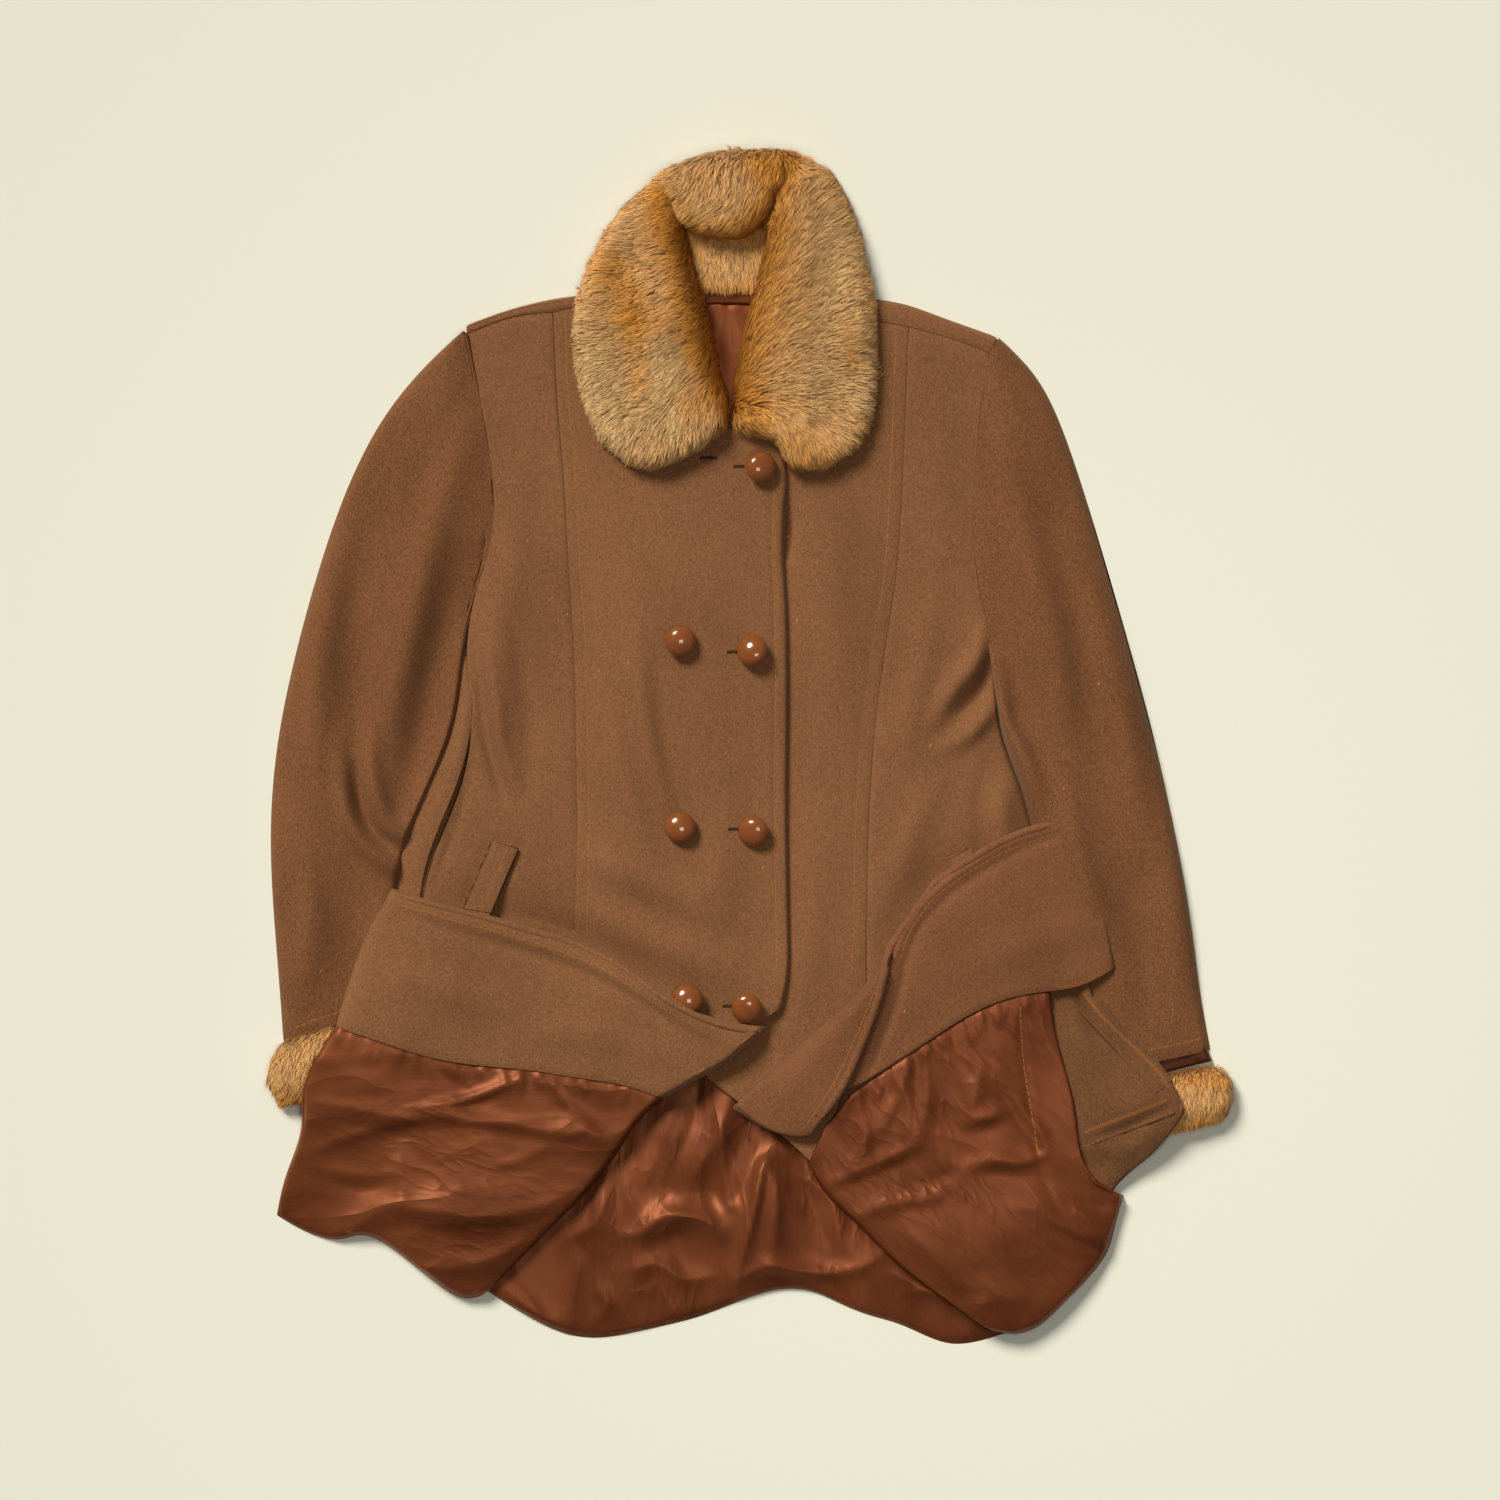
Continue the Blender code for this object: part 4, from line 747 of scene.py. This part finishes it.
# The welts' stitching: fine dark thread that fells each welt's ends and edges to the side front.
# The right welt is sewn all round where it shows, and the left one shows a single row.
WELT_CORNERS = [(-212, -134), (-236, -130), (-212, -74), (-190, -81), (-212, -134)]
welt_ground = cloth_top([coat["welt_right"], coat["right_side_front"]])
rows = []
for start, end in zip(WELT_CORNERS, WELT_CORNERS[1:]):
    rows += stitch_row(welt_ground, [start, end], 2.3)
welt_ground = cloth_top([coat["welt_left"], coat["left_side_front"]])
rows += stitch_row(welt_ground, [(161, -91), (181, -80)], 2.3)
stitches("welt_stitching", rows, 2.6, 0.8, thread("dark brown thread", (0.045, 0.017, 0.006)))


# The flaps' rolled edges: the seam between wool and facing, pressed into a round lip of the same wool.
# Each lip follows its seam as a swept tube, half sunk into the cloth beside it.
def lip(name, ground, points, thick, finish):
    """A round lip along a line, whose height follows the cloth and which thins at both ends."""
    spots = [spot for spot, _, _ in stitch_row(ground, points, 4.0)]
    heights = np.convolve(np.pad([spot.z for spot in spots], 3, mode="edge"), np.ones(7) / 7, "valid")
    bpy.ops.curve.primitive_nurbs_path_add(location=(0, 0, 0))
    path = bpy.context.object
    path.name = name
    path.data.splines.clear()
    run = path.data.splines.new("POLY")
    run.points.add(len(spots) - 1)
    for index, (point, spot, height) in enumerate(zip(run.points, spots, heights)):
        point.co = (spot.x * MM, spot.y * MM, (height - 0.35 * thick) * MM, 1)
        point.radius = min(1.0, 0.35 + 0.2 * min(index, len(spots) - 1 - index))
    path.data.bevel_depth = thick * MM
    path.data.bevel_resolution = 3
    path.data.use_fill_caps = True
    bpy.ops.object.convert(target="MESH")
    bpy.ops.object.shade_smooth()
    dress(bpy.context.object, finish, "wool")


LEFT_LIP = [(254, -60), (233, -65), (205, -76), (168, -98), (144, -116), (124, -141), (113, -169),
            (105, -202), (93, -235), (77, -272), (57, -303)]
RIGHT_LIP = [(-290, -119), (-256, -128), (-217, -138), (-178, -149), (-147, -158), (-116, -172), (-99, -182),
             (-76, -199), (-52, -213), (-29, -223), (0, -230), (12, -229)]
left_edge = cloth_top([coat["left_facing"], coat["left_front_edge_turn"], coat["left_turned_shell"]])
lip("left_flap_lip", left_edge, LEFT_LIP, 3.8, LEFT_TURN_SHADED_TWILL)
right_edge = cloth_top([coat["right_facing"], coat["right_turned_shell"]])
lip("right_flap_lip", right_edge, RIGHT_LIP, 3.0, RIGHT_TURN_TWILL)

# The serged edges of the allowances inside the left shell, and of the facing beside them.
# Orange overlock thread runs across each edge, a stitch every millimetre and a half.
SERGED = {
    "left_side_seam_allowance": [(274, -313), (341, -286)],
    "left_turned_shell": [(273, -326), (306, -313), (341, -299)],
    "left_hem_allowance": [(274, -200), (290, -220), (312, -241), (334, -263), (342, -276)],
    "left_facing": [(249, -193), (262, -193), (278, -188), (297, -177)],
}
rows = []
for panel, line in SERGED.items():
    rows += stitch_row(cloth_top([coat[panel], coat["left_turned_shell"]]), line, 1.5, cross=True)
stitches("serged_edges", rows, 2.8, 0.9, thread("orange overlock thread", (0.40, 0.14, 0.03)))

# The buttons: seven moulded domes in glossy caramel plastic, each with a shank for its thread.
# One is turned from rings of its section, and the others are copies, tilted and turned as they lie.
DOME = [(3.2, 0.4), (3.4, 2.2), (9.6, 3.0), (12.2, 4.4), (12.7, 6.0), (12.3, 7.8), (10.9, 9.7), (8.4, 11.3),
        (5.2, 12.3), (2.4, 12.8)]
AROUND = 40
bpy.ops.object.select_all(action="DESELECT")
bpy.ops.mesh.primitive_circle_add(vertices=AROUND, radius=DOME[0][0] * MM, location=(0, 0, 0),
                                  fill_type="NGON")
dome = bpy.context.object
bpy.ops.object.mode_set(mode="EDIT")
bpy.ops.mesh.select_all(action="SELECT")
for (inner, low), (outer, high) in zip(DOME, DOME[1:]):
    bpy.ops.mesh.extrude_region_move(TRANSFORM_OT_translate={"value": (0, 0, (high - low) * MM)})
    bpy.ops.transform.resize(value=(outer / inner, outer / inner, 1))
bpy.ops.mesh.poke(offset=0.1 * MM)
bpy.ops.mesh.select_all(action="SELECT")
bpy.ops.mesh.normals_make_consistent(inside=False)
bpy.ops.object.mode_set(mode="OBJECT")
bpy.ops.object.shade_smooth()
caramel = Finish("caramel plastic", Roughness=0.25, Coat_Weight=1.0, Coat_Roughness=0.03,
                 Specular_IOR_Level=0.3, Specular_Tint=(1, 0.6, 0.35, 1))
swirl = caramel.noise(caramel.grain(30, (1, 2.5, 1)), 60, 3, 0.6)
marbled = caramel.shade(swirl, (0.17, 0.046, 0.010), (0.30, 0.088, 0.018))
caramel.feed(caramel.surface.inputs["Base Color"], marbled)
TILTS = {1: (10, 10), 2: (4, -4), 3: (-8, 16), 4: (4, 4), 5: (-8, 16), 6: (-6, 14), 7: (2, -6)}
for number, (tilt_x, tilt_y) in TILTS.items():
    node = "button_" + str(number)
    low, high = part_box(node)
    button = bpy.data.objects.new(node + "_dome", dome.data.copy())
    bpy.context.scene.collection.objects.link(button)
    bpy.ops.object.select_all(action="DESELECT")
    button.select_set(True)
    bpy.context.view_layer.objects.active = button
    button.rotation_euler = (math.radians(tilt_x), math.radians(tilt_y), math.radians(37 * number))
    button.location = ((low.x + high.x) / 2, (low.y + high.y) / 2, low.z + 0.2 * MM)
    bpy.ops.object.transform_apply(location=True, rotation=True)
    dress(button, caramel.material, "buttons", node)
bpy.data.objects.remove(dome, do_unlink=True)

# The buttonholes: slits worked in near-black thread that also paints the shade in the slits, four beside the
# buttons that are done up and one at the top.
# Each is two rows of stitches laid across the slit, a little apart, on the right centre front.
BUTTONHOLES = [(-9, 232, 9), (-14, 80, 10), (-13, -65, 10), (-18, -210, 9), (-34, 239, 14)]
buttoned_front = cloth_top([coat["right_centre_front"]])
rows = []
for x, y, length in BUTTONHOLES:
    for offset in (-0.55, 0.55):
        slit = [(x - length / 2, y + offset), (x, y + offset + 0.3), (x + length / 2, y + offset)]
        rows += stitch_row(buttoned_front, slit, 0.7, cross=True)
# The near-black thread is partly the worked stitches and partly painted shade in the open slits.
stitches("buttonholes", rows, 1.5, 0.8, thread("dark brown thread", (0.022, 0.009, 0.004)))


# The fur collar: one band of golden pile fabric with cream tips, folded over at the back of the neck.
# Its two falls lie on the fronts, and the band's inner half stands up round the neck below the roll.
def fur_ground():
    """The ground cloth under the pile, darker than the hair."""
    hide = Finish("fur ground", Roughness=0.95, Specular_IOR_Level=0.1)
    tufts = hide.noise(hide.grain(), 160, 3, 0.6)
    hide.feed(hide.surface.inputs["Base Color"], hide.shade(tufts, (0.20, 0.085, 0.018), (0.40, 0.20, 0.06)))
    hide.relief(tufts, 1.5, 0.8)
    return hide.material


def pile():
    """Hair that is dark at its root, with a gold or a cream tip."""
    hair = Finish("fur pile", Roughness=0.55, Specular_IOR_Level=0.3, Specular_Tint=(1, 0.8, 0.5, 1))
    strand = hair.node("ShaderNodeUVMap", {"uv_map": "strand"})
    hue = hair.node("ShaderNodeSeparateXYZ", inputs={0: strand})
    along = hair.node("ShaderNodeSeparateXYZ", inputs={0: strand}, output=1)
    gold = hair.node("ShaderNodeAttribute", {"attribute_name": "gold"}, output=2)
    patches = hair.noise(hair.grain(25, (1, 0.5, 1)), 26, 3, 0.6)
    golden = (gold + (patches - 0.5) * 0.9 + (hue - 0.5) * 0.5 + 0.12).clipped()
    root = hair.shade(golden, (0.40, 0.18, 0.050), (0.40, 0.155, 0.020))
    # The gold tip is lighter than the fur's own gold: painted light for the falls' inner edges, which turn
    # away from the light.
    tip = hair.shade(golden, (1.0, 0.60, 0.25), (0.98, 0.44, 0.075))
    tip = hair.shade((gold * -2.0 + (patches - 0.5) * 0.6).clipped(), tip, (1.0, 0.69, 0.31))
    lit = hair.shade((along ** 1.2).clipped(), root, tip)
    dim = hair.node("ShaderNodeMix", {"data_type": "RGBA", "blend_type": "MULTIPLY"},
                    {0: 1.0, 6: lit, 7: hair.shade(hue, (0.50, 0.45, 0.40), (1.25, 1.24, 1.20))}, 2)
    hair.feed(hair.surface.inputs["Base Color"], dim)
    return hair.material


FUR_GROUND, FUR_PILE = fur_ground(), pile()
HAIR = np.array([(0, 0, 0), (0.42, 0.5, 0.36), (0.42, -0.5, 0.36), (1, 0, 0.34)])


def fur_pad(name, nodes, depth, rounds, knots=(), drawn=(), **tuck):
    """The cloth of a fur piece: its solids melted into one soft form, sunk by the depth of the hair.

    A knot is a place and a size where the fur bunches between two solids.
    A drawn place, with its reach and its pull, is drawn in to round it."""
    parts = [pick_up(node, node + "_part", 0) for node in nodes]
    for place, size in knots:
        bpy.ops.mesh.primitive_uv_sphere_add(segments=24, ring_count=16,
                                             location=[part * MM for part in place],
                                             scale=[part * MM for part in size])
        bpy.ops.object.transform_apply(location=True, scale=True)
        parts.append(bpy.context.object)
    bpy.ops.object.select_all(action="DESELECT")
    for part in parts:
        part.select_set(True)
    bpy.context.view_layer.objects.active = pad = parts[0]
    if len(parts) > 1:
        bpy.ops.object.join()
    pad.name = name
    spread(pad, **tuck)
    melt = pad.modifiers.new("melt", "REMESH")
    melt.mode, melt.voxel_size = "VOXEL", 3.0 * MM
    bpy.ops.object.modifier_apply(modifier=melt.name)
    soften = pad.modifiers.new("soften", "SMOOTH")
    soften.factor, soften.iterations = 0.5, rounds
    bpy.ops.object.modifier_apply(modifier=soften.name)
    bpy.ops.object.shade_smooth()
    places, _ = places_of(pad)
    places[:, 2] -= depth * np.clip(places[:, 2] / 12, 0, 1)
    for place, reach, pull in drawn:
        away = np.linalg.norm(places[:, :2] - place, axis=1)
        places[:, :2] += np.exp(-(away / reach) ** 2)[:, None] * pull
    put_back(pad, places)
    return dress(pad, FUR_GROUND, "fur", *nodes)


HAIRS_IN_A_LOCK = 30


def grow(pad, name, seed, per_mm2, length, guides, gold_and_light_lines, keep):
    """Covers a pad's outer side with hair. Each guide is a place and the way that the pile points there."""
    draw = np.random.RandomState(seed)
    mesh = pad.data
    mesh.calc_loop_triangles()
    corners = np.empty(len(mesh.loop_triangles) * 3, np.int32)
    mesh.loop_triangles.foreach_get("vertices", corners)
    corners = corners.reshape(-1, 3)
    places, normals = places_of(pad)
    a, b, c = (places[corners[:, k]] for k in range(3))
    cross = np.cross(b - a, c - a)
    area = np.linalg.norm(cross, axis=1) / 2
    middle = (a + b + c) / 3
    area = np.where(keep(middle, cross / np.maximum(2 * area[:, None], 1e-9)), area, 0)
    count = int(area.sum() * per_mm2)
    face = draw.choice(len(area), count, p=area / area.sum())
    u, v = draw.rand(2, count)
    u, v = np.where(u + v > 1, 1 - u, u), np.where(u + v > 1, 1 - v, v)
    spot = a[face] + (b - a)[face] * u[:, None] + (c - a)[face] * v[:, None]
    normal = (normals[corners[face, 0]] * (1 - u - v)[:, None] + normals[corners[face, 1]] * u[:, None]
              + normals[corners[face, 2]] * v[:, None])
    normal /= np.linalg.norm(normal, axis=1)[:, None]
    way = np.zeros((count, 2))
    for x, y, degrees in guides:
        weight = 1 / (np.hypot(spot[:, 0] - x, spot[:, 1] - y) + 6) ** 3
        way += weight[:, None] * [math.cos(math.radians(degrees)), math.sin(math.radians(degrees))]
    heading = np.degrees(np.arctan2(way[:, 1], way[:, 0]))
    heading += 4 * np.sin(spot[:, 0] / 13 + spot[:, 1] / 17) + 3 * np.sin(spot[:, 1] / 9 - spot[:, 0] / 23)
    locks = KDTree(count // HAIRS_IN_A_LOCK)
    for index in range(count // HAIRS_IN_A_LOCK):
        locks.insert(Vector(spot[index]), index)
    locks.balance()
    lock = np.array([locks.find(Vector(point))[1] for point in spot])
    heading = np.radians(heading + draw.normal(0, 5, count)[lock] + draw.normal(0, 6, count))
    ahead = np.stack([np.cos(heading), np.sin(heading), np.zeros(count)], 1)
    ahead -= normal * (ahead * normal).sum(1)[:, None]
    ahead /= np.maximum(np.linalg.norm(ahead, axis=1), 0.3)[:, None]
    side = np.cross(normal, ahead)
    reach = length * (0.7 + 0.6 * draw.rand(count)) * (0.88 + 0.24 * draw.rand(count)[lock])
    wide = 0.5 + 0.5 * draw.rand(count)
    rise = 0.7 + 0.5 * draw.rand(count)
    hairs = (spot[:, None] + ahead[:, None] * (HAIR[None, :, 0:1] * reach[:, None, None])
             + side[:, None] * (HAIR[None, :, 1:2] * wide[:, None, None])
             + normal[:, None] * (HAIR[None, :, 2:3] * (reach * rise)[:, None, None]))
    gather = hairs[:, 3][lock] - hairs[:, 3]
    hairs[:, 3] += gather * np.clip(1 - np.linalg.norm(gather, axis=1) / 9, 0, 0.14)[:, None]
    hairs[..., 2] = np.maximum(hairs[..., 2], 0.2)
    first = np.arange(count)[:, None] * 4
    faces = np.concatenate([first + [0, 2, 1], first + [1, 2, 3]])
    fur = bpy.data.meshes.new(name)
    fur.from_pydata((hairs.reshape(-1, 3) * MM).tolist(), [], faces.tolist())
    hue = 0.7 * draw.rand(count) + 0.3 * draw.rand(count)[lock]
    strand = fur.uv_layers.new(name="strand")
    far = np.array([0.0, 0.45, 0.45, 1.0])
    loops = np.empty(len(fur.loops), np.int32)
    fur.loops.foreach_get("vertex_index", loops)
    strand.data.foreach_set("uv", np.stack([hue[loops // 4], far[loops % 4]], 1).ravel())
    golden = np.zeros(count)
    for strength, half_width, points in gold_and_light_lines:
        away, _ = nearness(spot[:, :2], points)
        golden += strength * np.exp(-(away / half_width) ** 2)
    gold = fur.attributes.new("gold", "FLOAT", "POINT")
    gold.data.foreach_set("value", np.repeat(np.clip(golden, -0.5, 1), 4))
    fur.shade_smooth()
    piece = bpy.data.objects.new(name, fur)
    bpy.context.scene.collection.objects.link(piece)
    return dress(piece, FUR_PILE, "fur")


def outer_side(middle, normal):
    return normal[:, 2] > -0.2


RIGHT_FALL_PILE = [(-110, 440, 155), (-128, 400, 172), (-138, 350, 182), (-136, 300, 190), (-122, 258, 215),
                   (-96, 236, 240), (-60, 240, 262), (-30, 252, 280), (-66, 430, 195), (-54, 380, 205),
                   (-40, 340, 212), (-34, 305, 218), (-24, 275, 250), (-90, 340, 195), (-90, 290, 205)]
LEFT_FALL_PILE = [(42, 486, 20), (66, 460, 45), (86, 420, 30), (98, 370, 20), (100, 310, 8), (96, 270, -12),
                  (80, 243, -45), (54, 236, -75), (26, 240, -95), (32, 450, 70), (20, 410, 55), (14, 360, 48),
                  (6, 320, 42), (0, 290, 25), (4, 266, -40), (50, 360, 36), (50, 300, 18)]
ROLL_PILE = [(-78, 474, 130), (-62, 486, 110), (-40, 470, 255), (-20, 478, 262), (4, 478, 265),
             (24, 476, 250), (-56, 448, 225), (-40, 436, 215), (-18, 432, 228), (4, 440, 240), (16, 452, 235),
             (-10, 492, 95)]
collar_pad = fur_pad("collar_band", ("collar_right", "collar_back", "collar_left"), 2.5, 12,
                     knots=[((31, 477, 19), (17, 12, 12)), ((12, 478, 16), (16, 11, 14))],
                     drawn=[((52, 493), 14, np.array([-6.0, -7.0]))])
# Gold along the falls' inner edges is the fur's own gold at the roll, made brighter and wider as painted
# light where the edges turn from the light.
GOLD_AND_PAINTED_LIGHT = [
    (0.95, 11, [(-68, 451), (-62, 427), (-52, 398), (-44, 358), (-37, 328), (-29, 306), (-19, 288)]),
    (0.75, 15, [(-104, 392), (-92, 372), (-78, 348)]),
    (0.5, 9, [(-56, 292), (-46, 286)]),
    (-0.45, 22, [(-110, 310), (-100, 275), (-70, 285), (-66, 320)]),
    (-0.4, 9, [(-66, 332), (-62, 296), (-62, 262)]),
    (-0.35, 12, [(-132, 350), (-126, 300), (-104, 256)]), (0.5, 10, [(-96, 352), (-84, 318), (-80, 296)]),
    (0.85, 15, [(23, 467), (19, 437), (15, 398), (3, 348), (-5, 318), (-9, 292), (3, 278)]),
    (0.5, 10, [(33, 258), (44, 248), (56, 246)]),
    (0.35, 12, [(70, 340), (76, 320)]),
    (-0.35, 18, [(64, 420), (66, 350), (54, 296)]), (-0.3, 9, [(92, 340), (84, 280)]),
    (0.8, 11, [(8, 484), (26, 480)]),
    (0.7, 8, [(-44, 434), (-26, 428), (-4, 432), (8, 442)]),
]
RIGHT_FALL_ENDS, LEFT_FALL_STARTS = -62, 24
for name, seed, start, end in (("right_fall_pile", 1, -math.inf, RIGHT_FALL_ENDS),
                               ("roll_pile", 2, RIGHT_FALL_ENDS, LEFT_FALL_STARTS),
                               ("left_fall_pile", 3, LEFT_FALL_STARTS, math.inf)):
    grow(collar_pad, name, seed, 1.8, 11.0, RIGHT_FALL_PILE + LEFT_FALL_PILE + ROLL_PILE, GOLD_AND_PAINTED_LIGHT,
         lambda middle, normal: outer_side(middle, normal) & (middle[:, 0] > start) & (middle[:, 0] <= end))
stand_pad = fur_pad("collar_stand_pad", ("collar_stand",), 1.5, 3, left=6, right=6, up=16)
STAND_GOLDEN = [
    (0.6, 8, [(-50, 379), (-20, 378), (14, 379)]),
    (0.5, 10, [(-60, 424), (-20, 426), (20, 424)]),
]
grow(stand_pad, "collar_stand_pile", 4, 2.0, 7.5, [(-40, 400, 262), (-20, 400, 268), (4, 400, 274)],
     STAND_GOLDEN, outer_side)

# The cuffs: tubes of the same fur, sewn to the sleeve ends, with their pile towards the hand.
# The turned-back skirt covers their inner halves, so those are left bare.
COVERED_WITHIN = 336


def cuff_side(middle, normal):
    return (normal[:, 2] > -0.6) & (np.abs(middle[:, 0]) > COVERED_WITHIN)


for side, seed, way in (("right", 5, 250), ("left", 6, 275)):
    pad = fur_pad("cuff_" + side + "_pad", ("cuff_" + side,), 1.0, 8)
    low, high = (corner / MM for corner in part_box("cuff_" + side))
    golden_rims = [(0.7, 9, [(low.x, low.y + 2), (high.x, low.y + 22)]),
                   (0.5, 6, [(low.x, high.y), (high.x, high.y - 8)])]
    grow(pad, "cuff_" + side + "_pile", seed, 2.1, 9.0, [((low.x + high.x) / 2, (low.y + high.y) / 2, way)],
         golden_rims, cuff_side)
